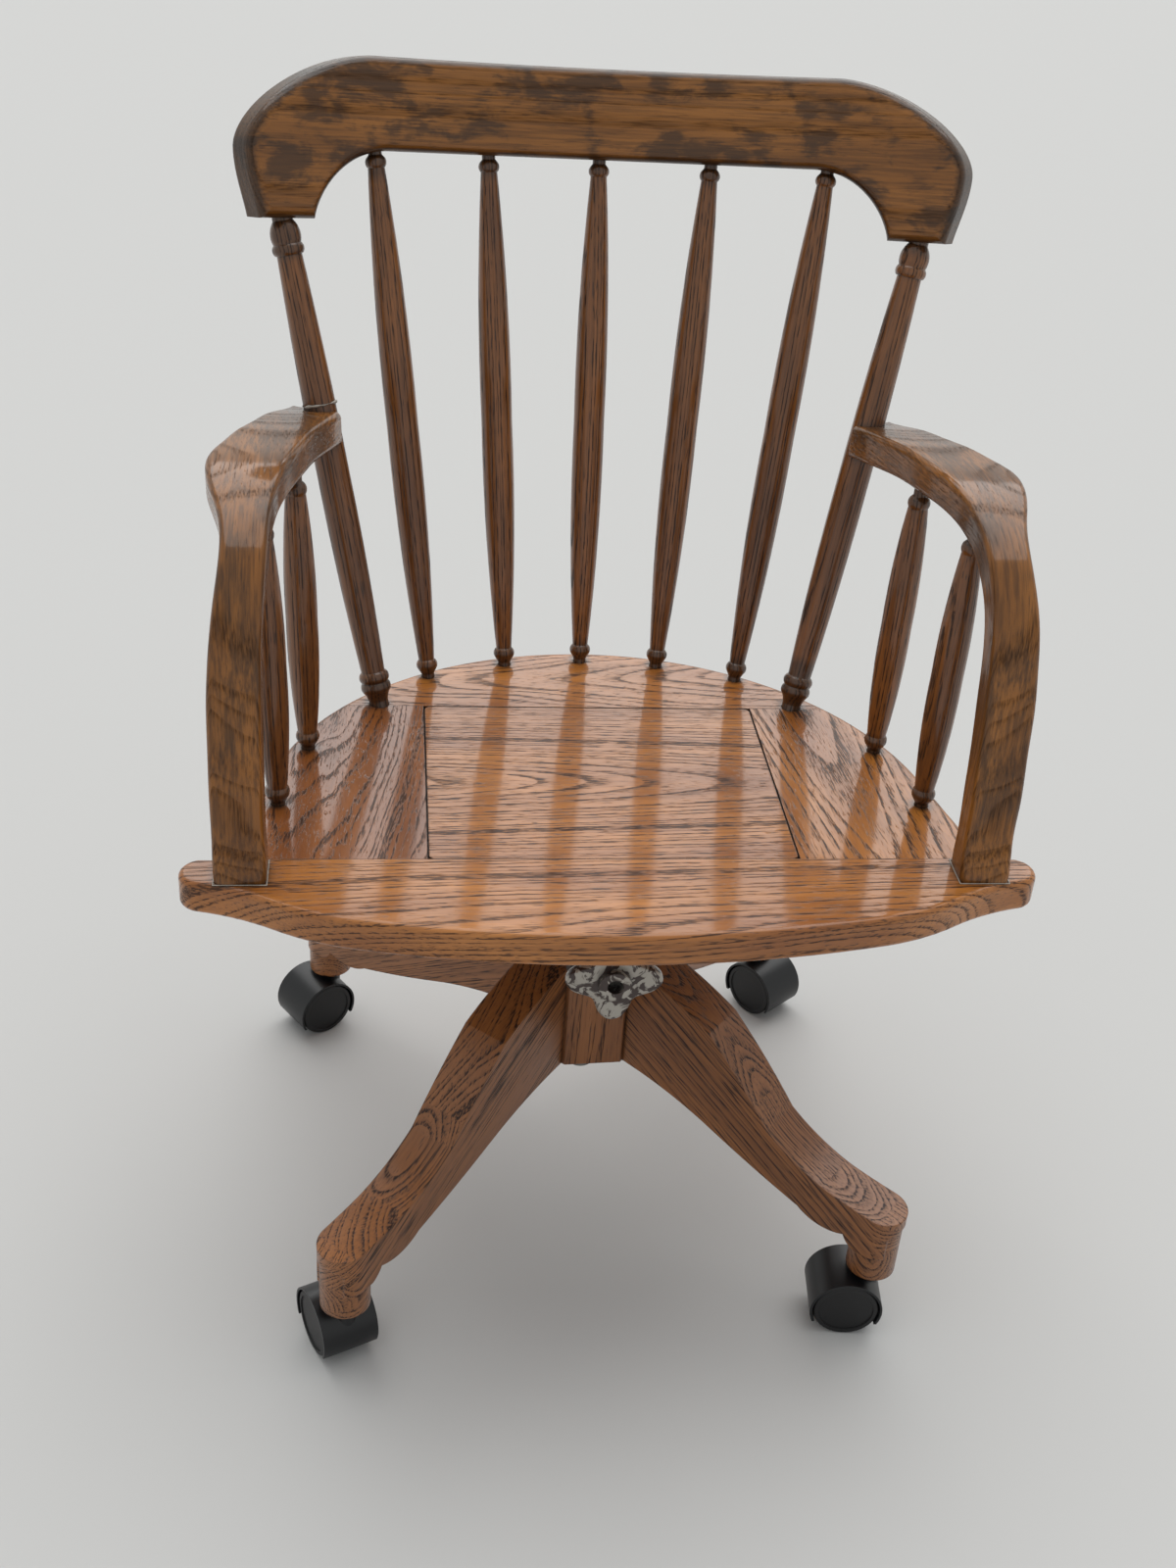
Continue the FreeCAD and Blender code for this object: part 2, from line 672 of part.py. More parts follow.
def arm_lines():
    """Smooth curves through the stations: the side view, the inner X and the outer X."""
    rows = arm_stations()
    points = [Vector(back, float(s.seat_top) + up, 0) for back, up, _, _ in rows]
    places = [0.0]
    for before, after in zip(points, points[1:]):
        places.append(places[-1] + (after - before).Length)
    inner = [Vector(place, row[2], 0) for place, row in zip(places, rows)]
    outer = [Vector(place, row[3], 0) for place, row in zip(places, rows)]
    curves = []
    for line in (points, inner, outer):
        curve = Part.BSplineCurve()
        curve.interpolate(Points=line, Parameters=places)
        curves.append(curve)
    return curves, places[-1]


def arm_section(point, normal, x_in, x_out, side):
    """A rounded rectangle across the arm, hanging inward from its outer face."""
    thick, soft = float(s.arm_thick), float(s.arm_round)
    mid = soft * (1 - math.sqrt(0.5))
    inward = Vector(0, -normal.x, -normal.y)

    def place(x, depth):
        return Vector(side * x, point.x, point.y) + inward * depth

    corners = [(x_in + soft, 0), (x_out - soft, 0), (x_out, soft), (x_out, thick - soft),
               (x_out - soft, thick), (x_in + soft, thick), (x_in, thick - soft), (x_in, soft)]
    middles = {1: (x_out - mid, mid), 3: (x_out - mid, thick - mid),
               5: (x_in + mid, thick - mid), 7: (x_in + mid, mid)}
    edges = []
    for i, corner in enumerate(corners):
        finish = place(*corners[(i + 1) % len(corners)])
        if i in middles:
            edges.append(Part.Arc(place(*corner), place(*middles[i]), finish).toShape())
        else:
            edges.append(Part.makeLine(place(*corner), finish))
    return Part.Wire(edges)


def arm_blank(side):
    """The bent bar before it is fitted to the seat and the post."""
    (spine, inner, outer), long = arm_lines()
    sections = []
    count = 19
    for i in range(count):
        place = long * i / (count - 1)
        tangent = spine.tangent(place)[0]
        normal = Vector(-tangent.y, tangent.x, 0)
        sections.append(arm_section(spine.value(place), normal, inner.value(place).y,
                                    outer.value(place).y, side))
    return Part.makeLoft(sections, True, False, False, 3)


def arm(name, side):
    """A bent arm: up from the seat's ear, over a knee and back to the post."""
    foot, top = post_ends(side)
    along = (top - foot).normalize()
    cope = Part.makeCylinder(float(s.post_belly + s.glue_gap), (top - foot).Length, foot, along)
    level = foot + along * (float(s.arm_rise) * 0.9 / along.z)
    reach = float(s.arm_rise)
    turn = Placement(level, Rotation(Vector(0, 0, 1), side * 38))
    behind = Part.makeBox(reach, reach, reach)
    behind.Placement = turn.multiply(Placement(Vector(-reach / 2, 0, -reach / 2), Rotation()))
    under = Part.makeBox(reach * 4, reach * 4, reach,
                         at(-reach * 2, -reach * 2, s.seat_top - reach))
    solid = arm_blank(side).cut(under).cut(behind).cut(cope)
    for where in ("rear", "front"):
        tool = socket(*arm_spindle_ends(side, where), s.spindle_tenon,
                      s.spindle_tenon_long + 1, True)
        doc.recompute()
        solid = solid.cut(tool.Shape)
    screw = Part.makeCylinder(float(s.arm_screw + s.run_gap),
                              float(s.arm_screw_long + s.face_gap), arm_screw_foot(side))
    solid = solid.cut(screw)
    thing = doc.addObject("Part::Feature", f"arm_{name}")
    thing.Shape = max(solid.Solids, key=lambda piece: piece.Volume)
    return keep(thing, f"arm_{name}")


def arm_screws():
    """The two screws up through the seat's ears into the arms, heads let in."""
    screws = []
    head_top = seat_bottom + s.arm_screw_head - s.face_gap
    for side in SIDES.values():
        foot = arm_screw_foot(side)
        screws.append(cylinder(s.arm_screw, s.arm_screw_long, foot))
        screws.append(cylinder(s.arm_screw_head, s.arm_screw_head - s.face_gap,
                               at(foot.x, foot.y, head_top - s.arm_screw_head + s.face_gap)))
    keep(fuse(screws), "arm_screws")


# Pedestal

def turned_by(angle):
    return Rotation(Vector(0, 0, 1), float(angle))


def bearing(name):
    """The direction of a leg seen from above, in degrees."""
    return LEG_BEARINGS[name] + float(s.base_turn)


def out_along(name, reach, z):
    angle = math.radians(bearing(name))
    return at(math.cos(angle) * float(reach), math.sin(angle) * float(reach), z)


def dowel_heights():
    span = float(s.hub_top) - float(s.hub_bottom)
    return [float(s.hub_bottom) + span * share for share in (0.3, 0.72)]


def dowel(name, z, radius):
    """One dowel across the joint between the hub and a leg."""
    start = float(s.hub_flats) / 2 - float(s.dowel_long) / 2
    direction = out_along(name, 1, 0)
    return cylinder(radius, s.dowel_long, out_along(name, start, z), direction)


def pedestal_hub():
    """An eight-sided post, bored for the sleeve and for the legs' dowels."""
    across = s.hub_flats / (2 * math.cos(math.pi / 8))
    prism = doc.addObject("Part::Prism", "prism")
    prism.Polygon = 8
    bind(prism, Circumradius=across, Height=s.hub_top - s.hub_bottom)
    prism.Placement = Placement(at(0, 0, s.hub_bottom), turned_by(22.5 + float(s.base_turn)))
    tools = [cylinder(s.sleeve_radius + s.run_gap, s.hub_top, at(0, 0, 0))]
    for name in LEG_BEARINGS:
        for z in dowel_heights():
            tools.append(dowel(name, z, s.dowel_radius + s.glue_gap))
    keep(cut(prism, tools), "pedestal_hub")


def leg(name):
    """A leg with an S-shaped top and underside and a round pad at its foot."""
    body = new_body(f"leg_{name}")
    side = new_sketch(body, "XZ_Plane")
    root, top, low = s.hub_flats / 2, s.hub_top, s.hub_bottom
    nose, bottom = s.foot_reach + s.foot_nose, s.nose_low
    pad_in = s.foot_reach - s.foot_pad
    span, tall, drop = s.foot_reach - root, top - low, low - bottom

    def out(share):
        return root + span * share

    corners = [
        (root, low), (out(0.382), low - drop * 0.571), (out(0.741), bottom - drop * 0.31),
        (pad_in, bottom - drop * 0.405), (pad_in + s.foot_pad / 2, bottom - drop * 0.667),
        (nose - 6, bottom - drop * 0.667), (nose - 6, bottom - 6), (nose, bottom),
        (nose, bottom + drop * 0.262), (nose - s.foot_pad * 3, bottom + drop * 0.429),
        (out(0.59), low + tall * 0.048), (out(0.327), low + tall * 0.712), (root, top),
    ]
    bulges = {
        0: (out(0.199), low - drop * 0.214), 1: (out(0.566), low - drop * 0.976),
        2: (out(0.861), bottom - drop * 0.5), 3: (pad_in + 3, bottom - drop * 0.524),
        8: (nose - s.foot_pad * 1.5, bottom + drop * 0.321),
        9: (out(0.705), low - drop * 0.286), 10: (out(0.466), low + tall * 0.385),
        11: (out(0.167), low + tall * 0.885),
    }
    draw(side, corners, bulges)
    slab = pad(body, side, s.leg_wide, both_ways=True)
    doc.recompute()
    reach = float(nose)
    round_edges(body, slab, s.leg_wide / 2 - 0.5,
                lambda edge: edge.BoundBox.XMin > reach - 1e-4 and edge.BoundBox.ZLength > 5)
    pad_sketch = new_sketch(body, "XY_Plane", s.foot_floor)
    draw_circle(pad_sketch, s.foot_pad, s.foot_reach, 0)
    pad(body, pad_sketch, bottom - s.foot_floor)
    doc.recompute()
    hole_sketch = new_sketch(body, "XY_Plane", s.foot_floor)
    draw_circle(hole_sketch, s.socket_radius + s.glue_gap, s.foot_reach, 0)
    pocket(body, hole_sketch, s.socket_long + 1, reverse=True)
    doc.recompute()
    for z in dowel_heights():
        dowel_sketch = new_sketch(body, "YZ_Plane", root)
        draw_circle(dowel_sketch, s.dowel_radius + s.glue_gap, 0, z)
        pocket(body, dowel_sketch, s.dowel_long / 2 + 1, reverse=True)
    body.Placement = Placement(Vector(), turned_by(bearing(name)))


def leg_dowels():
    dowels = [dowel(name, z, s.dowel_radius) for name in LEG_BEARINGS for z in dowel_heights()]
    keep(fuse(dowels), "leg_dowels")


def hub_sleeve():
    """The flanged steel sleeve that guides the height screw in the hub."""
    bore, outer, rim = s.screw_radius + s.run_gap, s.sleeve_radius, s.flange_radius
    top = s.hub_top + s.flange_thick
    turned("hub_sleeve", [(bore, s.sleeve_bottom), (outer, s.sleeve_bottom), (outer, s.hub_top),
                          (rim, s.hub_top), (rim, top), (bore, top)])


def ring(label, inner, outer, low, high):
    turned(label, [(inner, low), (outer, low), (outer, high), (inner, high)])


def height_parts():
    """The thrust washer, the hand nut that sets the height, and the screw."""
    flange = s.hub_top + s.flange_thick
    seat = flange + s.washer_thick
    ring("thrust_washer", s.screw_radius + s.run_gap, s.nut_radius, flange, seat)
    nut = new_body("height_nut")
    sketch = new_sketch(nut, "XY_Plane", seat)
    radius = s.nut_radius
    corners = []
    for i in range(12):
        angle = math.radians(30 * i)
        reach = radius if i % 2 else radius * 0.93
        corners.append((reach * math.cos(angle), reach * math.sin(angle)))
    draw(sketch, corners)
    pad(nut, sketch, s.nut_tall)
    hole = new_sketch(nut, "XY_Plane", seat)
    draw_circle(hole, s.screw_radius + s.run_gap)
    pocket(nut, hole, s.nut_tall, reverse=True)
    top = seat + s.nut_tall + s.nut_gap + s.boss_tall - 2
    screw = s.screw_radius
    turned("height_screw", [(0, s.screw_bottom), (screw - 2, s.screw_bottom),
                            (screw, s.screw_bottom + 2), (screw, top), (0, top)])


# Tilt mechanism

def housing_bottom():
    return s.hub_top + s.flange_thick + s.washer_thick + s.nut_tall + s.nut_gap


def tilt_housing():
    """A cast channel with a boss for the height screw and a threaded front wall."""
    bottom = housing_bottom()
    floor_low = bottom + s.boss_tall / 2
    half, wall = s.channel_half, s.wall_thick
    long = s.housing_front + s.housing_rear
    tall = s.housing_top - floor_low
    outer = box((half + wall) * 2, long, tall, (-half - wall, -s.housing_front, floor_low))
    boss = cylinder(s.boss_radius, s.boss_tall, at(0, 0, bottom))
    boss_front = cylinder(s.tension_radius * 2, wall * 4, at(0, wall * 2 - s.housing_front,
                                                            s.tension_z), Vector(0, -1, 0))
    inside = box(half * 2, long - wall * 1.5 + 1, tall,
                 (-half, wall * 1.5 - s.housing_front, floor_low + wall))
    hollow = cut(outer, [inside])
    bridge = box((half + wall) * 2, s.plate_reach * 0.2, wall,
                 (-half - wall, -s.housing_front, s.housing_top - wall))
    whole = fuse([hollow, boss, boss_front, bridge])
    screw_hole = cylinder(s.screw_radius + s.glue_gap, s.boss_tall - 2 + s.glue_gap,
                          at(0, 0, bottom))
    pin_z = seat_bottom - s.pivot_drop
    pin_hole = cylinder(s.pin_radius + s.run_gap, (half + wall) * 2 + 2,
                        at(-half - wall - 1, s.pivot_y, pin_z), Vector(1, 0, 0))
    thread = cylinder(s.tension_radius + s.run_gap, wall * 6,
                      at(0, wall * 3 - s.housing_front, s.tension_z), Vector(0, -1, 0))
    keep(cut(whole, [screw_hole, pin_hole, thread]), "tilt_housing")


def tilt_pin():
    """The pivot pin across the housing, with a collar at each end."""
    half = s.channel_half + s.wall_thick
    z = seat_bottom - s.pivot_drop
    rod = cylinder(s.pin_radius, half * 2, at(-half, s.pivot_y, z), Vector(1, 0, 0))
    ends = [rod]
    for side in SIDES.values():
        start = half + s.face_gap / 3
        ends.append(cylinder(s.pin_radius + 2, 2.5, at(side * float(start), s.pivot_y, z),
                             Vector(side, 0, 0)))
        ends.append(cylinder(s.pin_radius, 1, at(side * (float(half) - 0.5), s.pivot_y, z),
                             Vector(side, 0, 0)))
    keep(fuse(ends), "tilt_pin")


def seat_plate():
    """The plate under the seat, with the lever that hangs into the housing."""
    low = seat_bottom - s.plate_thick
    plate = box(s.plate_half * 2, s.plate_reach * 2, s.plate_thick,
                (-s.plate_half, -s.plate_reach, low))
    lever = box(s.lever_wide * 2, s.lever_half * 2, low - s.lever_bottom,
                (-s.lever_wide, s.pivot_y - s.lever_half, s.lever_bottom))
    tools = []
    for x, y in seat_screw_places():
        tools.append(cylinder(s.seat_screw + s.run_gap, s.plate_thick * 3,
                              at(x, y, low - s.plate_thick)))
    tools.append(cylinder(s.pin_radius + s.run_gap, s.lever_wide * 2 + 2,
                          at(-s.lever_wide - 1, s.pivot_y, seat_bottom - s.pivot_drop),
                          Vector(1, 0, 0)))
    keep(cut(fuse([plate, lever]), tools), "seat_plate")


def seat_plate_screws():
    low = seat_bottom - s.plate_thick
    things = []
    for x, y in seat_screw_places():
        things.append(cylinder(s.seat_screw_head, 2.5, at(x, y, low - 2.5)))
        things.append(cylinder(s.seat_screw, s.plate_thick + s.seat_screw_long - 2,
                               at(x, y, low - 1)))
    keep(fuse(things), "seat_plate_screws")


def tilt_bumper():
    """The rubber block that the seat plate rests on when the chair sits upright."""
    long = s.plate_reach * 0.16
    tall = seat_bottom - s.plate_thick - s.housing_top - s.face_gap / 3
    thing = box(s.channel_half, long, tall,
                (-s.channel_half / 2, -s.plate_reach + 2, s.housing_top))
    keep(thing, "tilt_bumper")


def tension_parts():
    """Spring, cup, screw and hand knob, in line along Y."""
    back = s.lever_half - s.pivot_y + s.face_gap
    axis = Rotation(Vector(0, 0, 1), Vector(0, -1, 0))
    place = Placement(at(0, -back, s.tension_z), axis)
    outer = s.spring_radius
    inner = outer - s.spring_wire
    turned("tension_spring", [(inner, 0), (outer, 0), (outer, s.spring_long),
                              (inner, s.spring_long)], place=place)
    cup = s.spring_long + s.glue_gap
    nose = inner - s.face_gap
    turned("spring_cup", [(0, cup - 8), (nose, cup - 8), (nose, cup), (outer + 2, cup),
                          (outer + 2, cup + s.cup_thick), (0, cup + s.cup_thick)],
           place=place)
    start = cup + s.cup_thick + s.glue_gap
    finish = s.knob_face_y - back - s.knob_thick / 2
    turned("tension_screw", [(0, start), (s.tension_radius, start),
                             (s.tension_radius, finish), (0, finish)], place=place)
    tension_knob()


def tension_knob():
    """A dished hand knob with four rounded lobes round a bored boss."""
    mean, wave = float(s.knob_mean), float(s.knob_wave)
    count = 32
    points = []
    for i in range(count):
        angle = 2 * math.pi * i / count
        reach = mean + wave * math.cos(4 * angle)
        points.append(Vector(reach * math.cos(angle), reach * math.sin(angle), 0))
    rim = Part.BSplineCurve()
    rim.interpolate(points, PeriodicFlag=True)
    face = doc.addObject("Part::Feature", "knob_outline")
    face.Shape = Part.Face(Part.Wire(rim.toShape()))
    star = doc.addObject("Part::Extrusion", "knob_star")
    star.Base = face
    star.Dir = Vector(0, 0, 1)
    star.Solid = True
    bind(star, LengthFwd=s.knob_thick)
    doc.recompute()
    soft = doc.addObject("Part::Fillet", "knob_soft")
    soft.Base = star
    radius = float(s.knob_thick) * 0.38
    soft.Edges = [(i, radius, radius) for i, edge in enumerate(star.Shape.Edges, start=1)
                  if edge.BoundBox.ZLength < 1e-6]
    boss = cylinder(s.knob_boss, s.knob_thick + s.knob_boss_out)
    skirt = cylinder(s.knob_boss, s.knob_boss_out, at(0, 0, -s.knob_boss_out))
    whole = fuse([soft, boss, skirt])
    deep = s.knob_thick / 2 + s.knob_boss_out
    bore = cylinder(s.tension_radius + s.glue_gap, deep + s.glue_gap,
                    at(0, 0, -s.knob_boss_out))
    eye = cylinder(s.knob_hole, deep, at(0, 0, s.knob_thick / 2 + s.wall_thick / 2))
    knob = keep(cut(whole, [bore, eye]), "tension_knob")
    knob.Placement = Placement(at(0, s.knob_thick - s.knob_face_y, s.tension_z),
                               Rotation(Vector(0, 0, 1), Vector(0, -1, 0)))


# Casters

def caster_place(name):
    """The caster's own frame: origin on the floor under its stem, X towards its axle."""
    foot = out_along(name, s.foot_reach, 0)
    return Placement(foot, turned_by(CASTER_HEADINGS[name]))


def caster_sockets():
    """The four steel stem sockets pressed into the legs' feet."""
    sockets = []
    low = s.foot_floor - s.socket_lip
    for name in LEG_BEARINGS:
        spot = out_along(name, s.foot_reach, 0)
        tube = cylinder(s.socket_radius, s.socket_long + s.socket_lip, spot + at(0, 0, low))
        lip = cylinder(s.socket_flange, s.socket_lip, spot + at(0, 0, low))
        bore = cylinder(s.stem_radius + s.run_gap, s.socket_long + s.socket_lip + 1,
                        spot + at(0, 0, low - 0.5))
        sockets.append(cut(fuse([tube, lip]), [bore]))
    keep(fuse(sockets), "caster_sockets")


def caster_hood(name):
    """A central web, a hood over both wheels and a boss for the stem."""
    radius, wide = s.hood_radius, s.web_half + s.wheel_wide + 1
    middle = at(s.trail, 0, s.wheel_radius)
    drum = cylinder(radius, wide * 2, middle - at(0, wide, 0), Vector(0, 1, 0))
    boss_low = s.wheel_radius
    boss_top = s.foot_floor - s.socket_lip - s.face_gap
    boss = cylinder(s.stem_boss, boss_top - boss_low, at(0, 0, boss_low))
    whole = fuse([drum, boss])
    tools = []
    for side in (-1, 1):
        start = middle + at(0, side * float(s.web_half), 0)
        tools.append(cylinder(radius - s.hood_wall, s.hood_radius, start, Vector(0, side, 0)))
    tools.append(box(radius * 4, radius * 4, s.hood_cut + radius,
                     (-radius * 2, -radius * 2, -radius)))
    tools.append(cylinder(s.axle_radius + s.run_gap, wide * 2, middle - at(0, wide, 0),
                          Vector(0, 1, 0)))
    tools.append(cylinder(s.stem_radius + s.run_gap, s.foot_floor, at(0, 0, stem_low())))
    hood = keep(cut(whole, tools), f"caster_{name}_hood")
    hood.Placement = caster_place(name)


def stem_low():
    return s.foot_floor + s.socket_long - s.stem_long - 1


def caster_parts(name):
    """Stem, axle and the two wheels of one caster."""
    place = caster_place(name)
    stem = s.stem_radius
    turned(f"caster_{name}_stem", [(0, stem_low()), (stem, stem_low()),
                                   (stem, stem_low() + s.stem_long - 1),
                                   (stem - 1, stem_low() + s.stem_long),
                                   (0, stem_low() + s.stem_long)], place=place)
    middle = at(s.trail, 0, s.wheel_radius)
    along = Placement(middle, Rotation(Vector(0, 0, 1), Vector(0, 1, 0)))
    half = s.axle_half
    turned(f"caster_{name}_axle", [(0, -half), (s.axle_radius, -half),
                                   (s.axle_radius, half), (0, half)],
           place=place.multiply(along))
    for word, side in SIDES.items():
        start = s.web_half + s.face_gap
        outward = Placement(middle, Rotation(Vector(0, 0, 1), Vector(0, side, 0)))
        radius, finish = s.wheel_radius, s.web_half + s.wheel_wide
        bore, floor = s.axle_radius + s.run_gap, s.axle_half + s.face_gap
        rim, soft = s.wheel_radius * 0.84, 2
        turned(f"caster_{name}_wheel_{word}",
               [(bore, start), (radius - soft, start), (radius, start + soft),
                (radius, finish - soft), (radius - soft, finish), (rim, finish),
                (rim, finish - 1), (0, finish - 1), (0, floor), (bore, floor)],
               {1: (radius - soft * 0.293, start + soft * 0.293),
                3: (radius - soft * 0.293, finish - soft * 0.293)},
               place=place.multiply(outward))


# Assembly

seat_boards()
center_panel()
crest_rail()
for name, side in SIDES.items():
    back_post(name, side)
    arm(name, side)
    for where in ("front", "rear"):
        spindle(f"arm_spindle_{name}_{where}", *arm_spindle_ends(side, where),
                s.arm_spindle_belly, s.arm_spindle_waist, s.arm_spindle_bead)
back_spindles()
arm_screws()
seat_plate()
seat_plate_screws()
tilt_bumper()
tilt_housing()
tilt_pin()
tension_parts()
height_parts()
pedestal_hub()
hub_sleeve()
leg_dowels()
caster_sockets()
for name in LEG_BEARINGS:
    leg(name)
    caster_hood(name)
    caster_parts(name)
doc.recompute()

# The row's origin is under the middle of the whole chair
box_all = FreeCAD.BoundBox()
for piece in pieces:
    box_all.add(piece.Shape.optimalBoundingBox(False))
shift = Vector(-round((box_all.XMin + box_all.XMax) / 2),
               -round((box_all.YMin + box_all.YMax) / 2), 0)
for piece in pieces:
    piece.Placement = Placement(shift, Rotation()).multiply(piece.Placement)

for thing in doc.Objects:
    if "Invalid" in thing.State or "Error" in thing.State:
        raise RuntimeError(f"{thing.Label} failed: {thing.State}")
for piece in pieces:
    if piece.Shape.isNull() or not piece.Shape.isValid():
        raise RuntimeError(f"{piece.Label} has no valid shape")

os.makedirs("parts", exist_ok=True)
for piece in pieces:
    piece.Shape.exportStep(f"parts/{piece.Label}.step")
print("swivel axis at", tuple(round(c, 3) for c in shift))
print("box", box_all, "pieces", len(pieces))
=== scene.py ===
import math

import bpy
from mathutils import Matrix, Vector


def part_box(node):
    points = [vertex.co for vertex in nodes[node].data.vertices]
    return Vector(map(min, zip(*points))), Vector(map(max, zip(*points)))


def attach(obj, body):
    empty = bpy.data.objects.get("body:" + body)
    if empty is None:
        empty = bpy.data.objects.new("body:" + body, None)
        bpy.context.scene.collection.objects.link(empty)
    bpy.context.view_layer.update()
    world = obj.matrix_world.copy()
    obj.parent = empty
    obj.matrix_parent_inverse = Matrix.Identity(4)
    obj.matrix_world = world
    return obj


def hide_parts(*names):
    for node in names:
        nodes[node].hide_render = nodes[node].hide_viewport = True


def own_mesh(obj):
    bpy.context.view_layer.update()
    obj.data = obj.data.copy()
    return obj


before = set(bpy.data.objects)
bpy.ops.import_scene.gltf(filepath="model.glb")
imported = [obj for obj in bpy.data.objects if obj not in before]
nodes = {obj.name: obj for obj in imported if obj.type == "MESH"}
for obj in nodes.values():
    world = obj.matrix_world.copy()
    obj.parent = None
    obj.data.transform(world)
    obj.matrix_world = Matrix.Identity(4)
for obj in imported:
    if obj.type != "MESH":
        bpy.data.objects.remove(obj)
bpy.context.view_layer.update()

print("frame loaded:", len(nodes), "nodes")

axisY = -0.038   # the swivel axis stands this far in front of the row's middle
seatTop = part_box("seat_front_rail")[1].z

cameraView = {
    "place": (-0.1730, -1.2721, 1.1796),
    "yaw": -7.5,
    "pitch": 31.8,   # degrees down
    "roll": 4.2,
    "lens": 40.84,
    "sensor": 36,    # mm on the long side of the picture
    "sees": 80,      # metres, past the floor's far edge
}


def addCamera(view):
    data = bpy.data.cameras.new("camera")
    data.lens = view["lens"]
    data.sensor_width = view["sensor"]
    data.clip_end = view["sees"]
    camera = bpy.data.objects.new("camera", data)
    bpy.context.scene.collection.objects.link(camera)
    turn = (Matrix.Rotation(math.radians(view["yaw"]), 4, "Z")
            @ Matrix.Rotation(math.radians(90 - view["pitch"]), 4, "X")
            @ Matrix.Rotation(math.radians(view["roll"]), 4, "Z"))
    camera.matrix_world = Matrix.Translation(view["place"]) @ turn
    bpy.context.scene.camera = camera


addCamera(cameraView)


# sRGB hex to linear
def hexColour(code, alpha=1.0):
    parts = [int(code[i:i + 2], 16) / 255 for i in (1, 3, 5)]
    linear = [p / 12.92 if p <= 0.04045 else ((p + 0.055) / 1.055) ** 2.4 for p in parts]
    return (*linear, alpha)


def addNode(tree, kind, settings=None, inputs=None):
    node = tree.nodes.new(kind)
    for name, value in (settings or {}).items():
        setattr(node, name, value)
    for name, value in (inputs or {}).items():
        socket = node.inputs[name]
        if isinstance(value, bpy.types.NodeSocket):
            tree.links.new(value, socket)
        else:
            socket.default_value = value
    return node


def newMaterial(name):
    material = bpy.data.materials.new(name)
    material.use_nodes = True
    tree = material.node_tree
    tree.nodes.clear()
    return material, tree, tree.nodes.new("ShaderNodeOutputMaterial")


def paint(nodeName, material):
    data = nodes[nodeName].data
    data.materials.clear()
    data.materials.append(material)


# a board or turned piece: the log's heart is a straight line past the point
def straightGrain(heart, along, spin=0.0):
    turn = Vector(along).to_track_quat("Z", "Y").to_matrix()
    turn = (turn @ Matrix.Rotation(math.radians(spin), 3, "Z")).to_euler()

    def build(tree):
        place = addNode(tree, "ShaderNodeTexCoord").outputs["Object"]
        return addNode(tree, "ShaderNodeMapping", {"vector_type": "TEXTURE"},
                       {"Vector": place, "Location": tuple(heart),
                        "Rotation": tuple(turn)}).outputs[0]
    return build


# an arm is glued up from thin plies bent round one corner, so its grain goes round with them
armBend = {"y": -0.086, "z": 0.600, "radius": 0.085, "heart": 0.22}


def bentGrain(middleX):
    def build(tree):
        place = addNode(tree, "ShaderNodeTexCoord").outputs["Object"]
        parts = addNode(tree, "ShaderNodeSeparateXYZ", None, {0: place}).outputs
        ahead = addNode(tree, "ShaderNodeMath", {"operation": "SUBTRACT"},
                        {0: armBend["y"], 1: parts["Y"]}).outputs[0]
        above = addNode(tree, "ShaderNodeMath", {"operation": "SUBTRACT"},
                        {0: parts["Z"], 1: armBend["z"]}).outputs[0]
        # the grain turns in front of and above the corner's centre, and runs straight elsewhere
        front, top = [addNode(tree, "ShaderNodeMath", {"operation": "MAXIMUM"},
                              {0: part, 1: 0.0}).outputs[0] for part in (ahead, above)]
        behind, below = [addNode(tree, "ShaderNodeMath", {"operation": "MINIMUM"},
                                 {0: part, 1: 0.0}).outputs[0] for part in (ahead, above)]
        corner = addNode(tree, "ShaderNodeCombineXYZ", None, {"X": front, "Y": top}).outputs[0]
        across = addNode(tree, "ShaderNodeVectorMath", {"operation": "LENGTH"},
                         {0: corner}).outputs["Value"]
        deep = addNode(tree, "ShaderNodeMath", {"operation": "ADD"},
                       {0: across, 1: armBend["heart"]}).outputs[0]
        angle = addNode(tree, "ShaderNodeMath", {"operation": "ARCTAN2"},
                        {0: top, 1: front}).outputs[0]
        straight = addNode(tree, "ShaderNodeMath", {"operation": "SUBTRACT"},
                           {0: below, 1: behind}).outputs[0]
        along = addNode(tree, "ShaderNodeMath", {"operation": "MULTIPLY_ADD"},
                        {0: angle, 1: armBend["radius"], 2: straight}).outputs[0]
        wide = addNode(tree, "ShaderNodeMath", {"operation": "SUBTRACT"},
                       {0: parts["X"], 1: middleX}).outputs[0]
        return addNode(tree, "ShaderNodeCombineXYZ", None,
                       {"X": deep, "Y": wide, "Z": along}).outputs[0]
    return build


# the crest rail is bowed about an upright line in front of it, which leans back with it
crestBow = {"foot": (0, -0.2066, 0.9411), "lean": 12.5, "radius": 0.481, "heart": 0.16}
crestLean = (-math.radians(crestBow["lean"]), 0, 0)


# a place on the crest rail measured from that line, and the same without its height
def crestPlace(tree):
    place = addNode(tree, "ShaderNodeTexCoord").outputs["Object"]
    local = addNode(tree, "ShaderNodeMapping", {"vector_type": "TEXTURE"},
                    {"Vector": place, "Location": crestBow["foot"],
                     "Rotation": crestLean}).outputs[0]
    flat = addNode(tree, "ShaderNodeVectorMath", {"operation": "MULTIPLY"},
                   {0: local, 1: (1, 1, 0)}).outputs[0]
    return local, flat


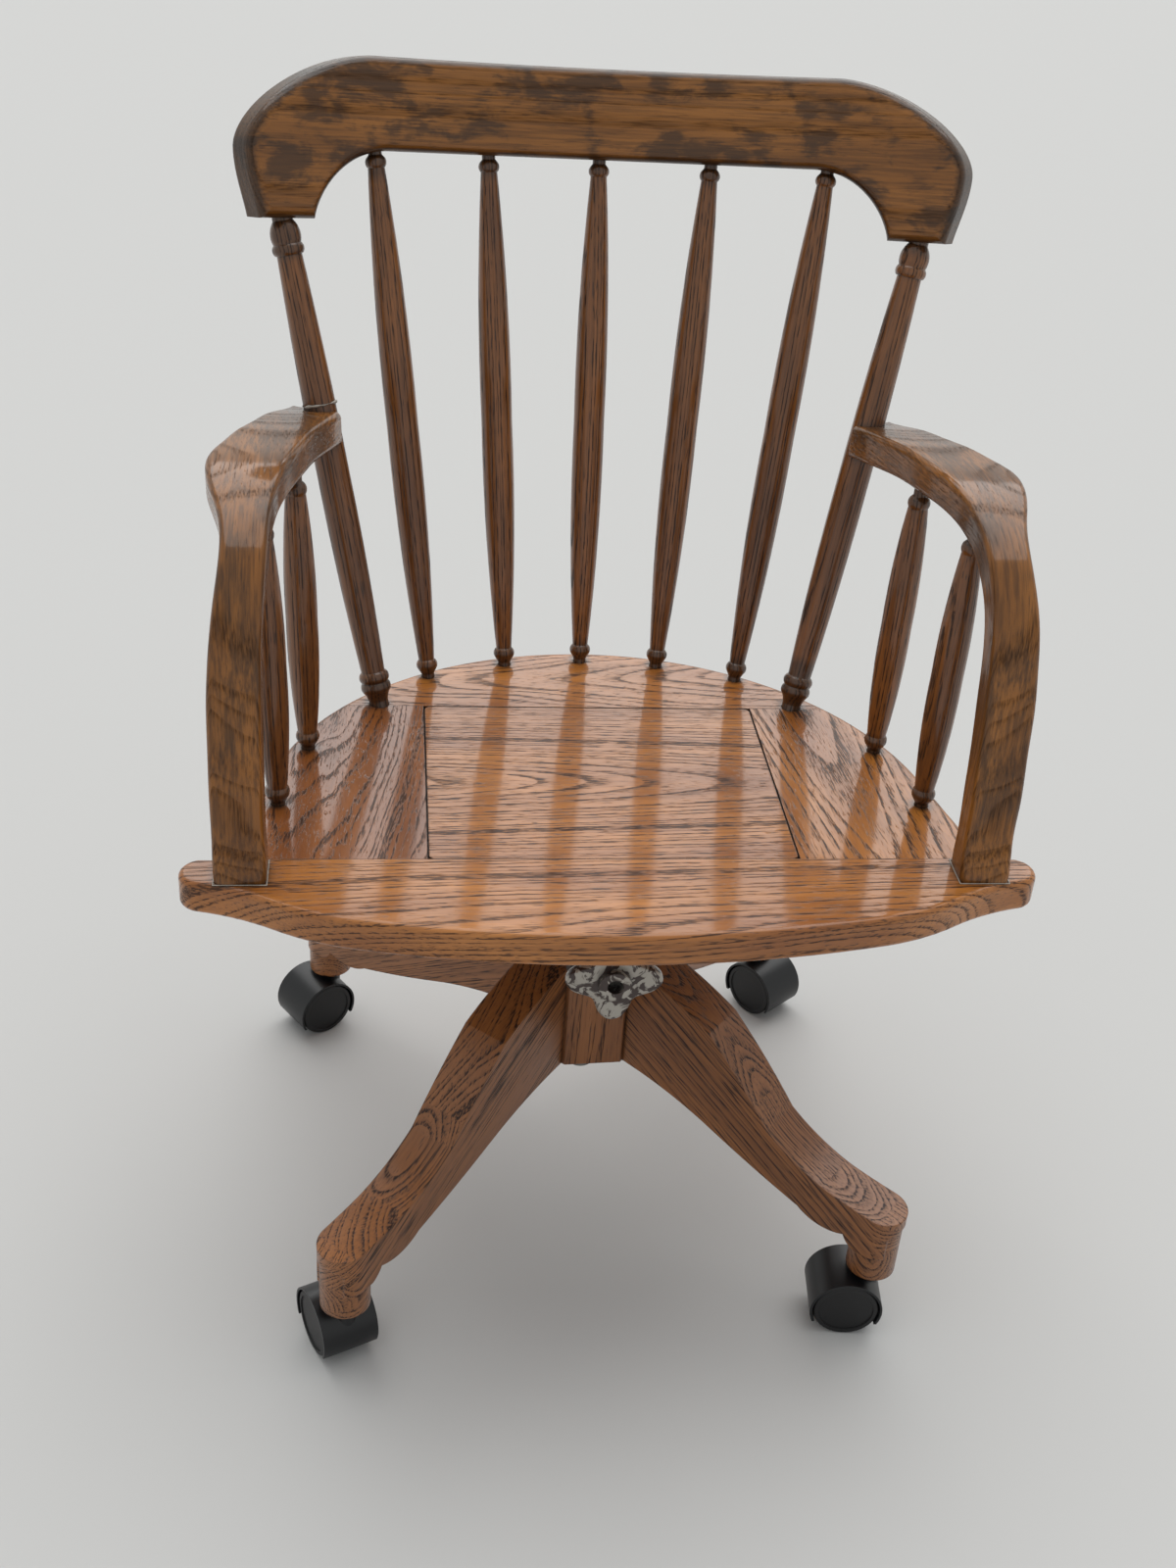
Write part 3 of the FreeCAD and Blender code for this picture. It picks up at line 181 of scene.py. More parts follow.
def bowedGrain(tree):
    local, flat = crestPlace(tree)
    parts = addNode(tree, "ShaderNodeSeparateXYZ", None, {0: local}).outputs
    reach = addNode(tree, "ShaderNodeVectorMath", {"operation": "LENGTH"},
                    {0: flat}).outputs["Value"]
    deep = addNode(tree, "ShaderNodeMath", {"operation": "SUBTRACT"},
                   {0: reach, 1: crestBow["radius"] - crestBow["heart"]}).outputs[0]
    angle = addNode(tree, "ShaderNodeMath", {"operation": "ARCTAN2"},
                    {0: parts["X"], 1: parts["Y"]}).outputs[0]
    along = addNode(tree, "ShaderNodeMath", {"operation": "MULTIPLY"},
                    {0: angle, 1: crestBow["radius"]}).outputs[0]
    return addNode(tree, "ShaderNodeCombineXYZ", None,
                   {"X": deep, "Y": parts["Z"], "Z": along}).outputs[0]


oakLook = {
    "light": "#C07A35",
    "mid": "#9A5A22",
    "dark": "#46220A",
    "pore": "#2A1506",
    "ring": 0.0046,          # one year's growth, in metres
    "ringUneven": 2.6,       # years that good and poor summers shift a ring by
    "ringDark": 0.88,
    "ringPores": 0.20,       # how much closer the pores stand in spring wood
    "wander": 0.006,         # how far the rings stray from true
    "waver": 9.0,
    "waverLong": 0.16,
    "poreScale": 850.0,      # pores 1 mm wide, three times too coarse, so that they show
    "poreAmount": 0.7,
    "poreLong": 0.06,        # under 1 draws a pattern out along the grain
    "layer": 0.0,            # thickness of the boards that a leg is glued from
    "layerTone": 0.6,        # how much of a board's tone is its own
    "layerMiddle": (0.5, -1.4, 0.5),   # taken off the board's three random numbers
    "layerShift": (0.20, 0.07, 0.5),   # metres that they then move it by in the log
    "streakScale": 430.0,
    "streakLong": 0.04,
    "streak": 0.18,          # fine dark streaks along the grain
    "cloudScale": 30.0,      # slow changes from light to mid
    "blotch": 0.0,
    "blotchLong": 0.6,       # under 1 draws the blotches out along the grain
    "blotchScale": 26.0,
    "blotchColour": "#33200F",
    "rim": 0.0,              # dark stain on faces that turn away from the bow's front
    "shadeAndStain": 0.8,            # painted shade in corners and round joints, with stain that pooled there
    "shadeAndStainReach": 0.007,
    # dark colour of the stains, also used for the painted shade in corners
    "stainAndShadeColour": "#1D1108",
    "collars": None,         # where a turned piece's dark ends stop, along it
    "collarFade": 0.008,
    "collarDark": 0.55,
    "edgeRound": 0.0011,
    "edgeDark": 0.0,
    "roughness": 0.40,
    "poreDull": 0.15,
    "shine": 0.2,
    "coat": 1.0,
    "coatInPores": 0.3,      # share of the gloss left over spring wood
    "coatRoughness": 0.12,
    "bump": 0.25,
    "bumpDeep": 0.0006,
}

# how porous a year's ring is, from the spring's end of it to the autumn's
ringProfile = ((0.05, 0.9), (0.16, 1.0), (0.36, 0.3), (0.6, 0.05), (0.9, 0.0))


# each board of a glued-up leg is another piece of the log, with its own tone
def gluedLayers(tree, local, look):
    level = addNode(tree, "ShaderNodeSeparateXYZ", None, {0: local}).outputs["Y"]
    count = addNode(tree, "ShaderNodeMath", {"operation": "DIVIDE"},
                    {0: level, 1: look["layer"]}).outputs[0]
    index = addNode(tree, "ShaderNodeMath", {"operation": "FLOOR"}, {0: count}).outputs[0]
    chance = addNode(tree, "ShaderNodeTexWhiteNoise", {"noise_dimensions": "1D"}, {"W": index})
    centred = addNode(tree, "ShaderNodeVectorMath", {"operation": "SUBTRACT"},
                      {0: chance.outputs["Color"], 1: look["layerMiddle"]}).outputs[0]
    shift = addNode(tree, "ShaderNodeVectorMath", {"operation": "MULTIPLY"},
                    {0: centred, 1: look["layerShift"]}).outputs[0]
    moved = addNode(tree, "ShaderNodeVectorMath", {"operation": "ADD"},
                    {0: local, 1: shift}).outputs[0]
    return moved, chance.outputs["Value"]


# growth rings stray slowly along the grain
def strayRings(tree, local, stretched, look):
    waver = addNode(tree, "ShaderNodeTexNoise", None,
                    {"Vector": stretched, "Scale": look["waver"],
                     "Detail": 3.0}).outputs["Color"]
    centred = addNode(tree, "ShaderNodeVectorMath", {"operation": "SUBTRACT"},
                      {0: waver, 1: (0.5, 0.5, 0.5)}).outputs[0]
    shift = addNode(tree, "ShaderNodeVectorMath", {"operation": "SCALE"},
                    {0: centred, "Scale": look["wander"] * 2}).outputs[0]
    return addNode(tree, "ShaderNodeVectorMath", {"operation": "ADD"},
                   {0: local, 1: shift}).outputs[0]


# porous spring wood, in uneven rings round the heart
def springWood(tree, moved, look):
    across = addNode(tree, "ShaderNodeVectorMath", {"operation": "MULTIPLY"},
                     {0: moved, 1: (1.0, 1.0, 0.0)}).outputs[0]
    radius = addNode(tree, "ShaderNodeVectorMath", {"operation": "LENGTH"},
                     {0: across}).outputs["Value"]
    count = addNode(tree, "ShaderNodeMath", {"operation": "DIVIDE"},
                    {0: radius, 1: look["ring"]}).outputs[0]
    uneven = addNode(tree, "ShaderNodeTexNoise", {"noise_dimensions": "1D"},
                     {"W": count, "Scale": 0.45, "Detail": 1.0}).outputs["Fac"]
    years = addNode(tree, "ShaderNodeMath", {"operation": "MULTIPLY_ADD"},
                    {0: uneven, 1: look["ringUneven"], 2: count}).outputs[0]
    season = addNode(tree, "ShaderNodeMath", {"operation": "FRACT"}, {0: years}).outputs[0]
    early = addNode(tree, "ShaderNodeValToRGB", None, {"Fac": season})
    ramp = early.color_ramp
    ramp.elements[0].color = ramp.elements[1].color = (0.1, 0.1, 0.1, 1)
    for position, value in ringProfile:
        ramp.elements.new(position).color = (value, value, value, 1)
    return early.outputs["Color"]


# stain that took unevenly, feathered along the grain
def unevenStain(tree, local, speck, look):
    patchy = addNode(tree, "ShaderNodeVectorMath", {"operation": "MULTIPLY"},
                     {0: local, 1: (0.7, 1.0, look["blotchLong"])}).outputs[0]
    patch = addNode(tree, "ShaderNodeTexNoise", None,
                    {"Vector": patchy, "Scale": look["blotchScale"], "Detail": 4.0,
                     "Roughness": 0.55, "Distortion": 0.4}).outputs["Fac"]
    feather = addNode(tree, "ShaderNodeMath", {"operation": "MULTIPLY_ADD"},
                      {0: speck, 1: 0.22, 2: patch}).outputs[0]
    return addNode(tree, "ShaderNodeMapRange", {"interpolation_type": "SMOOTHSTEP"},
                   {"Value": feather, "From Min": 0.57, "From Max": 0.73,
                    "To Max": look["blotch"]}).outputs[0]


# the crest rail's back, ends and edges are darker than the hollow side of its bow
def rimStain(tree, look):
    out = addNode(tree, "ShaderNodeVectorMath", {"operation": "NORMALIZE"},
                  {0: crestPlace(tree)[1]}).outputs[0]
    normal = addNode(tree, "ShaderNodeTexCoord").outputs["Normal"]
    faces = addNode(tree, "ShaderNodeMapping", {"vector_type": "TEXTURE"},
                    {"Vector": normal, "Rotation": crestLean}).outputs[0]
    facing = addNode(tree, "ShaderNodeVectorMath", {"operation": "DOT_PRODUCT"},
                     {0: faces, 1: out}).outputs["Value"]
    return addNode(tree, "ShaderNodeMapRange", None,
                   {"Value": facing, "From Min": -0.97, "From Max": -0.7,
                    "To Max": look["rim"]}).outputs[0]


# a turned piece keeps dark stain at its foot and its top
def collarStains(tree, place, look):
    low, high = look["collars"]
    length = addNode(tree, "ShaderNodeSeparateXYZ", None, {0: place}).outputs["Z"]
    return [addNode(tree, "ShaderNodeMapRange", None,
                    {"Value": length, "From Min": edge, "From Max": far,
                     "To Max": look["collarDark"]}).outputs[0]
            for edge, far in ((low, low - look["collarFade"]), (high, high + look["collarFade"]))]


# an edge is where the rounded surface leaves the true one
def edgeStain(tree, rounded, look):
    true = addNode(tree, "ShaderNodeNewGeometry").outputs["Normal"]
    match = addNode(tree, "ShaderNodeVectorMath", {"operation": "DOT_PRODUCT"},
                    {0: rounded, 1: true}).outputs["Value"]
    return addNode(tree, "ShaderNodeMapRange", None,
                   {"Value": match, "From Min": 0.99, "From Max": 0.86,
                    "To Max": look["edgeDark"]}).outputs[0]


# painted shade: darker where corners and joints are shut in, standing also for the stain and old
# polish that stay there
def cornerShadeAndStain(tree, look):
    shelter = addNode(tree, "ShaderNodeAmbientOcclusion", {"samples": 6},
                      {"Distance": look["shadeAndStainReach"]})
    return addNode(tree, "ShaderNodeMapRange", None,
                   {"Value": shelter.outputs["AO"], "From Min": 0.92, "From Max": 0.35,
                    "To Max": look["shadeAndStain"]}).outputs[0]


# Red oak, sawn or turned, stained brown and brushed with clear lacquer: dark porous lines
# of spring wood over a golden ground, under a gloss that mirrors the sky in soft bands.
def stainedOak(name, grain, look=None):
    look = {**oakLook, **(look or {})}
    material, tree, output = newMaterial(name)
    place = grain(tree)
    local, tint = gluedLayers(tree, place, look) if look["layer"] else (place, None)
    stretched = addNode(tree, "ShaderNodeVectorMath", {"operation": "MULTIPLY"},
                        {0: local, 1: (1.0, 1.0, look["waverLong"])}).outputs[0]
    moved = strayRings(tree, local, stretched, look)
    early = springWood(tree, moved, look)
    fibre = addNode(tree, "ShaderNodeVectorMath", {"operation": "MULTIPLY"},
                    {0: moved, 1: (1.0, 1.0, look["poreLong"])}).outputs[0]
    speck = addNode(tree, "ShaderNodeTexNoise", None,
                    {"Vector": fibre, "Scale": look["poreScale"], "Detail": 2.0}).outputs["Fac"]
    broken = addNode(tree, "ShaderNodeMapRange", None,
                     {"Value": speck, "From Min": 0.40, "From Max": 0.60,
                      "To Min": 0.35}).outputs[0]
    line = addNode(tree, "ShaderNodeMath", {"operation": "MULTIPLY"},
                   {0: early, 1: broken}).outputs[0]
    crowd = addNode(tree, "ShaderNodeMath", {"operation": "MULTIPLY_ADD"},
                    {0: early, 1: look["ringPores"], 2: speck}).outputs[0]
    pores = addNode(tree, "ShaderNodeMapRange", {"interpolation_type": "SMOOTHSTEP"},
                    {"Value": crowd, "From Min": 0.60, "From Max": 0.74}).outputs[0]
    cloudy = addNode(tree, "ShaderNodeTexNoise", None,
                     {"Vector": stretched, "Scale": look["cloudScale"],
                      "Detail": 4.0}).outputs["Fac"]
    tone = addNode(tree, "ShaderNodeMapRange", None,
                   {"Value": cloudy, "From Min": 0.32, "From Max": 0.68}).outputs[0]
    if tint:
        tone = addNode(tree, "ShaderNodeMix", None,
                       {0: look["layerTone"], 2: tone, 3: tint}).outputs[0]
    colour = addNode(tree, "ShaderNodeMix", {"data_type": "RGBA"},
                     {0: tone, 6: hexColour(look["light"]), 7: hexColour(look["mid"])}).outputs[2]
    thin = addNode(tree, "ShaderNodeVectorMath", {"operation": "MULTIPLY"},
                   {0: moved, 1: (1.0, 1.0, look["streakLong"])}).outputs[0]
    streaks = addNode(tree, "ShaderNodeTexNoise", None,
                      {"Vector": thin, "Scale": look["streakScale"],
                       "Detail": 3.0}).outputs["Fac"]
    streaky = addNode(tree, "ShaderNodeMapRange", None,
                      {"Value": streaks, "From Min": 0.42, "From Max": 0.62,
                       "To Max": look["streak"]}).outputs[0]
    ringed = addNode(tree, "ShaderNodeMath", {"operation": "MULTIPLY"},
                     {0: line, 1: look["ringDark"]}).outputs[0]
    pitted = addNode(tree, "ShaderNodeMath", {"operation": "MULTIPLY"},
                     {0: pores, 1: look["poreAmount"]}).outputs[0]
    rounded = addNode(tree, "ShaderNodeBevel", {"samples": 4},
                      {"Radius": look["edgeRound"]}).outputs[0]
    # each darker colour lies over the ones before it
    stainsAndShade = [(streaky, "dark"), (ringed, "dark"), (pitted, "pore")]
    if look["blotch"]:
        stainsAndShade.append((unevenStain(tree, local, speck, look), "blotchColour"))
    if look["rim"]:
        stainsAndShade.append((rimStain(tree, look), "stainAndShadeColour"))
    if look["collars"]:
        stainsAndShade += [(share, "stainAndShadeColour") for share in collarStains(tree, place, look)]
    if look["edgeDark"]:
        stainsAndShade.append((edgeStain(tree, rounded, look), "stainAndShadeColour"))
    # painted shade in corners and round joints, with pooled stain
    stainsAndShade.append((cornerShadeAndStain(tree, look), "stainAndShadeColour"))
    for share, kind in stainsAndShade:
        colour = addNode(tree, "ShaderNodeMix", {"data_type": "RGBA"},
                         {0: share, 6: colour, 7: hexColour(look[kind])}).outputs[2]
    dull = addNode(tree, "ShaderNodeMath", {"operation": "MULTIPLY_ADD"},
                   {0: pores, 1: look["poreDull"], 2: look["roughness"]}).outputs[0]
    relief = addNode(tree, "ShaderNodeBump", {"invert": True},
                     {"Height": pores, "Strength": look["bump"], "Distance": look["bumpDeep"],
                      "Normal": rounded}).outputs[0]
    # the lacquer sinks into open pores and shines less there
    gloss = addNode(tree, "ShaderNodeMapRange", None,
                    {"Value": line, "To Min": look["coat"],
                     "To Max": look["coat"] * look["coatInPores"]}).outputs[0]
    shader = addNode(tree, "ShaderNodeBsdfPrincipled", None,
                     {"Base Color": colour, "Roughness": dull, "Normal": relief,
                      "Coat Normal": relief, "IOR": 1.5, "Specular IOR Level": look["shine"],
                      "Coat Weight": gloss, "Coat Roughness": look["coatRoughness"]})
    tree.links.new(shader.outputs[0], output.inputs["Surface"])
    return material


plainLook = {
    "metallic": 0.0,
    "roughSpread": 0.06,
    "edgeRound": 0.0004,
    "thread": None,      # pitch of a screw thread
    "deep": 0.0004,
}


# metal, plastic or rubber: fine unevenness in tone and gloss keeps it from looking drawn
def plainFinish(name, look):
    look = {**plainLook, **look}
    material, tree, output = newMaterial(name)
    place = addNode(tree, "ShaderNodeTexCoord").outputs["Object"]
    noise = addNode(tree, "ShaderNodeTexNoise", None,
                    {"Vector": place, "Scale": look["scale"], "Detail": 4.0}).outputs["Fac"]
    height = noise
    if look["thread"]:
        # a helical groove, one turn to each pitch up the swivel axis
        centre = addNode(tree, "ShaderNodeVectorMath", {"operation": "SUBTRACT"},
                         {0: place, 1: (0, axisY, 0)}).outputs[0]
        parts = addNode(tree, "ShaderNodeSeparateXYZ", None, {0: centre}).outputs
        angle = addNode(tree, "ShaderNodeMath", {"operation": "ARCTAN2"},
                        {0: parts["Y"], 1: parts["X"]}).outputs[0]
        turns = addNode(tree, "ShaderNodeMath", {"operation": "DIVIDE"},
                        {0: parts["Z"], 1: look["thread"]}).outputs[0]
        phase = addNode(tree, "ShaderNodeMath", {"operation": "MULTIPLY_ADD"},
                        {0: angle, 1: -1 / (2 * math.pi), 2: turns}).outputs[0]
        height = addNode(tree, "ShaderNodeMath", {"operation": "PINGPONG"},
                         {0: phase, 1: 0.5}).outputs[0]
    colour = addNode(tree, "ShaderNodeMix", {"data_type": "RGBA"},
                     {0: noise, 6: hexColour(look["colour"]),
                      7: hexColour(look["other"])}).outputs[2]
    rough = addNode(tree, "ShaderNodeMapRange", None,
                    {"Value": noise, "To Min": look["roughness"] - look["roughSpread"],
                     "To Max": look["roughness"] + look["roughSpread"]}).outputs[0]
    rounded = addNode(tree, "ShaderNodeBevel", {"samples": 4},
                      {"Radius": look["edgeRound"]}).outputs[0]
    relief = addNode(tree, "ShaderNodeBump", None,
                     {"Height": height, "Strength": look["bump"], "Normal": rounded,
                      "Distance": look["deep"]}).outputs[0]
    shader = addNode(tree, "ShaderNodeBsdfPrincipled", None,
                     {"Base Color": colour, "Roughness": rough, "Normal": relief,
                      "Metallic": look["metallic"]})
    tree.links.new(shader.outputs[0], output.inputs["Surface"])
    return material


# zinc-plated steel: bright grey with a faint bloom
steel = plainFinish("zincPlatedSteel",
                    {"colour": "#8E8E8B", "other": "#6F6F6C", "scale": 220.0,
                     "roughness": 0.34, "bump": 0.1, "metallic": 1.0})
# cut thread on plated steel: fine bright and dark lines round the screw
screwSteel = plainFinish("threadedSteel",
                         {"colour": "#858582", "other": "#62625F", "scale": 220.0,
                          "roughness": 0.36, "bump": 1.0, "metallic": 1.0,
                          "thread": 0.006, "deep": 0.002})
# black painted steel: satin, with a slight orange peel
blackSteel = plainFinish("blackPaintedSteel",
                         {"colour": "#1A1A1B", "other": "#242425", "scale": 300.0,
                          "roughness": 0.42, "bump": 0.15})
# moulded nylon: near black with a cold sheen
blackNylon = plainFinish("mouldedBlackNylon",
                         {"colour": "#07090C", "other": "#0C0E13", "scale": 600.0,
                          "roughness": 0.36, "bump": 0.12, "edgeRound": 0.0010})
# the wheels' faces are finer and a little duller
wheelNylon = plainFinish("mouldedWheelNylon",
                         {"colour": "#09090B", "other": "#0E0E10", "scale": 900.0,
                          "roughness": 0.46, "bump": 0.12, "edgeRound": 0.0008})
# moulded rubber: a dull black that takes hardly any light
rubber = plainFinish("blackRubber",
                     {"colour": "#121212", "other": "#1B1A19", "scale": 400.0,
                      "roughness": 0.75, "bump": 0.3})
# turned beech dowel, left bare: pale and matt, with a fine fleck
beech = plainFinish("bareBeech",
                    {"colour": "#C9A06A", "other": "#B98F5A", "scale": 120.0,
                     "roughness": 0.6, "bump": 0.2})
# drawn spring wire, oil blackened: dark, with a soft greasy shine
oiledSteel = plainFinish("oiledSpringSteel",
                         {"colour": "#4A4744", "other": "#2E2B29", "scale": 260.0,
                          "roughness": 0.32, "bump": 0.1, "metallic": 1.0})
# white wood glue that squeezed out and yellowed: a horny, dirty grey bead
oldGlue = plainFinish("driedWoodGlue",
                      {"colour": "#BDB7AC", "other": "#857A6C", "scale": 260.0,
                       "roughness": 0.36, "bump": 0.4})

knobLook = {
    "light": "#ABA59B",
    "dark": "#3A2B26",
    "scale": 62.0,      # swirls of 10 to 15 mm
    # painted shade: near black in the bore and hollows
    "hollow": "#0B0908",
    "hollowReach": 0.012,
    "edgeRound": 0.0016,
    "bump": 0.35,
    "bumpDeep": 0.0006,
    "roughness": 0.34,
    "metallic": 0.35,
    "coat": 0.5,
    "coatRoughness": 0.1,
}


# cast knob in vein paint: silver grey run together with dark brown, like marble
def veinPaint(name, look):
    material, tree, output = newMaterial(name)
    place = addNode(tree, "ShaderNodeTexCoord").outputs["Object"]
    swirl = addNode(tree, "ShaderNodeTexNoise", None,
                    {"Vector": place, "Scale": look["scale"], "Detail": 3.0, "Roughness": 0.5,
                     "Distortion": 2.2}).outputs["Fac"]
    share = addNode(tree, "ShaderNodeMapRange", {"interpolation_type": "SMOOTHSTEP"},
                    {"Value": swirl, "From Min": 0.465, "From Max": 0.535}).outputs[0]
    colour = addNode(tree, "ShaderNodeMix", {"data_type": "RGBA"},
                     {0: share, 6: hexColour(look["light"]),
                      7: hexColour(look["dark"])}).outputs[2]
    # painted shade: the knob's bore and hollows turn near black where they are shut in
    shelter = addNode(tree, "ShaderNodeAmbientOcclusion", {"samples": 6},
                      {"Distance": look["hollowReach"]})
    deep = addNode(tree, "ShaderNodeMapRange", None,
                   {"Value": shelter.outputs["AO"], "From Min": 0.7, "From Max": 0.2}).outputs[0]
    colour = addNode(tree, "ShaderNodeMix", {"data_type": "RGBA"},
                     {0: deep, 6: colour, 7: hexColour(look["hollow"])}).outputs[2]
    rounded = addNode(tree, "ShaderNodeBevel", {"samples": 4},
                      {"Radius": look["edgeRound"]}).outputs[0]
    relief = addNode(tree, "ShaderNodeBump", None,
                     {"Height": swirl, "Strength": look["bump"], "Distance": look["bumpDeep"],
                      "Normal": rounded}).outputs[0]
    shader = addNode(tree, "ShaderNodeBsdfPrincipled", None,
                     {"Base Color": colour, "Roughness": look["roughness"], "Normal": relief,
                      "Metallic": look["metallic"], "Coat Weight": look["coat"],
                      "Coat Roughness": look["coatRoughness"]})
    tree.links.new(shader.outputs[0], output.inputs["Surface"])
    return material


woodStarts = ("seat_", "back_", "arm_", "crest", "leg_", "pedestal")
for name in nodes:
    if name.startswith("caster_") and "hood" in name:
        paint(name, blackNylon)
    elif name.startswith("caster_") and "wheel" in name:
        paint(name, wheelNylon)
    elif name in ("seat_plate", "tilt_housing", "spring_cup"):
        paint(name, blackSteel)
    elif name == "tilt_bumper":
        paint(name, rubber)
    elif name == "tension_knob":
        paint(name, veinPaint("veinPaintedCasting", knobLook))
    elif name == "height_screw":
        paint(name, screwSteel)
    elif name == "leg_dowels":
        paint(name, beech)
    elif name.endswith("_screws") or not name.startswith(woodStarts):
        paint(name, steel)
print("metal and plastic finished")

# heart of each board's log, the way it runs, and its own colour
boards = {
    "seat_center_panel": ((0.0, axisY - 0.008, 0.376), (1, 0.012, -0.07),
                          {"ring": 0.0043, "wander": 0.005, "edgeDark": 1.0, "edgeRound": 0.0016}),
    "seat_front_rail": ((0.03, axisY - 0.215, 0.372), (1, 0.015, 0.05),
                        {"ring": 0.0050, "ringDark": 0.6, "wander": 0.008}),
    "seat_back_rail": ((0.12, axisY + 0.17, 0.380), (1, 0.04, 0.10),
                       {"ring": 0.0045, "wander": 0.018, "ringDark": 0.65}),
    "seat_left_rail": ((-0.24, axisY, 0.368), (0.10, 1, 0.12),
                       {"ring": 0.0052, "wander": 0.020, "waver": 14.0, "light": "#9E5F2D",
                        "mid": "#7E461D", "dark": "#43220C", "ringDark": 0.65}),
    "seat_right_rail": ((0.205, axisY, 0.372), (-0.10, 1, 0.06),
                        {"ring": 0.0062, "ringDark": 0.85, "dark": "#40240F", "wander": 0.010}),
}
boardLook = {"edgeDark": 0.85, "edgeRound": 0.0011, "coatRoughness": 0.09}
for name, (heart, along, look) in boards.items():
    paint(name, stainedOak("stainedOak_" + name, straightGrain(heart, along),
                           {**boardLook, **look}))
print("seat boards finished")


endDepth = 0.006   # points this near the lowest or highest one belong to that end


# foot and top of a leaning turned piece, from its mesh
def ends(nodeName):
    points = [v.co for v in nodes[nodeName].data.vertices]
    low = min(p.z for p in points)
    high = max(p.z for p in points)
    foot = [p for p in points if p.z < low + endDepth]
    top = [p for p in points if p.z > high - endDepth]
    return sum(foot, Vector()) / len(foot), sum(top, Vector()) / len(top)


turnedLook = {
    "light": "#9C6029",
    "mid": "#704117",
    "dark": "#2E1606",
    "streak": 0.35,
    "pore": "#1E0F06",
    "ring": 0.0036,
    "ringDark": 0.7,
    "wander": 0.004,
    "coatRoughness": 0.12,
    "heartAway": 0.045,     # turned from quarters, so the log's heart lies outside
    "heartStep": 0.012,
    "spin": 67,             # degrees from one piece's ring side to the next one's
}
# how long the dark foot and top are
collars = {
    "back_post": (0.058, 0.046),
    "back_spindle": (0.038, 0.034),
    "arm_spindle": (0.036, 0.032),
}
turned = [n for n in sorted(nodes) if n.startswith(tuple(collars))]
for number, name in enumerate(turned):
    foot, top = ends(name)
    line = top - foot
    low, high = next(size for start, size in collars.items() if name.startswith(start))
    heart = foot + Vector((turnedLook["heartAway"], turnedLook["heartStep"] * (number % 3 - 1), 0))
    paint(name, stainedOak("stainedOak_" + name,
                           straightGrain(heart, line, turnedLook["spin"] * number),
                           {**turnedLook, "collars": (low, line.length - high)}))

bentLook = {
    "light": "#A66A2B",
    "mid": "#7A4A18",
    "dark": "#2F1806",
    "pore": "#251306",
    "ring": 0.0038,
    "ringDark": 0.45,
    "ringPores": 0.06,
    "streak": 0.5,
    "wander": 0.0003,
    "poreAmount": 0.35,
    "blotch": 0.55,
    "blotchLong": 0.28,
    "blotchScale": 34.0,
    "coat": 0.8,
    "shine": 0.1,
    "coatRoughness": 0.10,
}
for name in ("arm_left", "arm_right"):
    low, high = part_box(name)
    paint(name, stainedOak("stainedOak_" + name, bentGrain((low.x + high.x) / 2), bentLook))

crestLook = {
    **bentLook,
    "light": "#A86D2E",
    "mid": "#84521E",
    "ringDark": 0.25,
    "streak": 0.4,
    "blotchLong": 0.55,
    "blotch": 0.75,
    "blotchScale": 46.0,
    "blotchColour": "#34200F",
    "rim": 0.75,
}
paint("crest_rail", stainedOak("stainedOak_crest_rail", bowedGrain, crestLook))
print("back and arms finished")

legLook = {
    "light": "#AC6D38",
    "mid": "#855129",
    "dark": "#3A1D0E",
    "pore": "#241309",
    "ring": 0.0034,
    "ringDark": 1.0,
    "wander": 0.006,
    "waver": 16.0,
    "layer": 0.022,
    "layerStart": 0.255,    # height of one glue line above the floor, square to the slope
    "layerStep": 0.044,     # two boards on from one leg to the next
    "slope": 32,            # degrees that the leg falls outwards
    "coat": 0.85,
    "coatRoughness": 0.24,
    "edgeRound": 0.0022,
}
legs = [n for n in sorted(nodes) if n.startswith("leg_") and n != "leg_dowels"]
for number, name in enumerate(legs):
    low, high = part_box(name)
    out = Vector(((low.x + high.x) / 2, (low.y + high.y) / 2 - axisY, 0)).normalized()
    fall = math.radians(legLook["slope"])
    along = out * math.cos(fall) - Vector((0, 0, math.sin(fall)))
    square = out * math.sin(fall) + Vector((0, 0, math.cos(fall)))
    lift = legLook["layerStart"] + legLook["layerStep"] * number
    origin = Vector((0, axisY, 0)) + square * lift
    paint(name, stainedOak("stainedOak_" + name, straightGrain(origin, along),
                           {**legLook, "waver": legLook["waver"] + number}))

hubLook = {**legLook, "layer": 0.0, "ring": 0.005, "ringDark": 0.4}
hubHeart, hubAlong = (0.05, axisY + 0.05, 0.2), (0.02, 0.01, 1)
paint("pedestal_hub", stainedOak("stainedOak_pedestal_hub", straightGrain(hubHeart, hubAlong),
                                 hubLook))
print("pedestal finished")


# make one object the only one selected, and active
def choose(piece):
    bpy.ops.object.select_all(action="DESELECT")
    piece.select_set(True)
    bpy.context.view_layer.objects.active = piece


weldGap = 0.00001   # points closer than this become one


def finishPiece(piece, material, body, smooth=60):
    choose(piece)
    for modifier in list(piece.modifiers):
        bpy.ops.object.modifier_apply(modifier=modifier.name)
    bpy.ops.object.transform_apply(location=True, rotation=True, scale=True)
    bpy.ops.object.mode_set(mode="EDIT")
    bpy.ops.mesh.select_all(action="SELECT")
    bpy.ops.mesh.remove_doubles(threshold=weldGap)
    bpy.ops.mesh.normals_make_consistent(inside=False)
    bpy.ops.object.mode_set(mode="OBJECT")
    bpy.ops.object.shade_smooth_by_angle(angle=math.radians(smooth))
    piece.data.materials.clear()
    piece.data.materials.append(material)
    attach(piece, body)


springSizes = {
    "wire": 0.0034,
    "turns": 10,
    "steps": 26,      # to each turn
    "sides": 10,
    "slack": 0.00005,    # keeps the wire inside the spring's outer size
    "shorter": 0.008,    # how far the cup presses it together
}


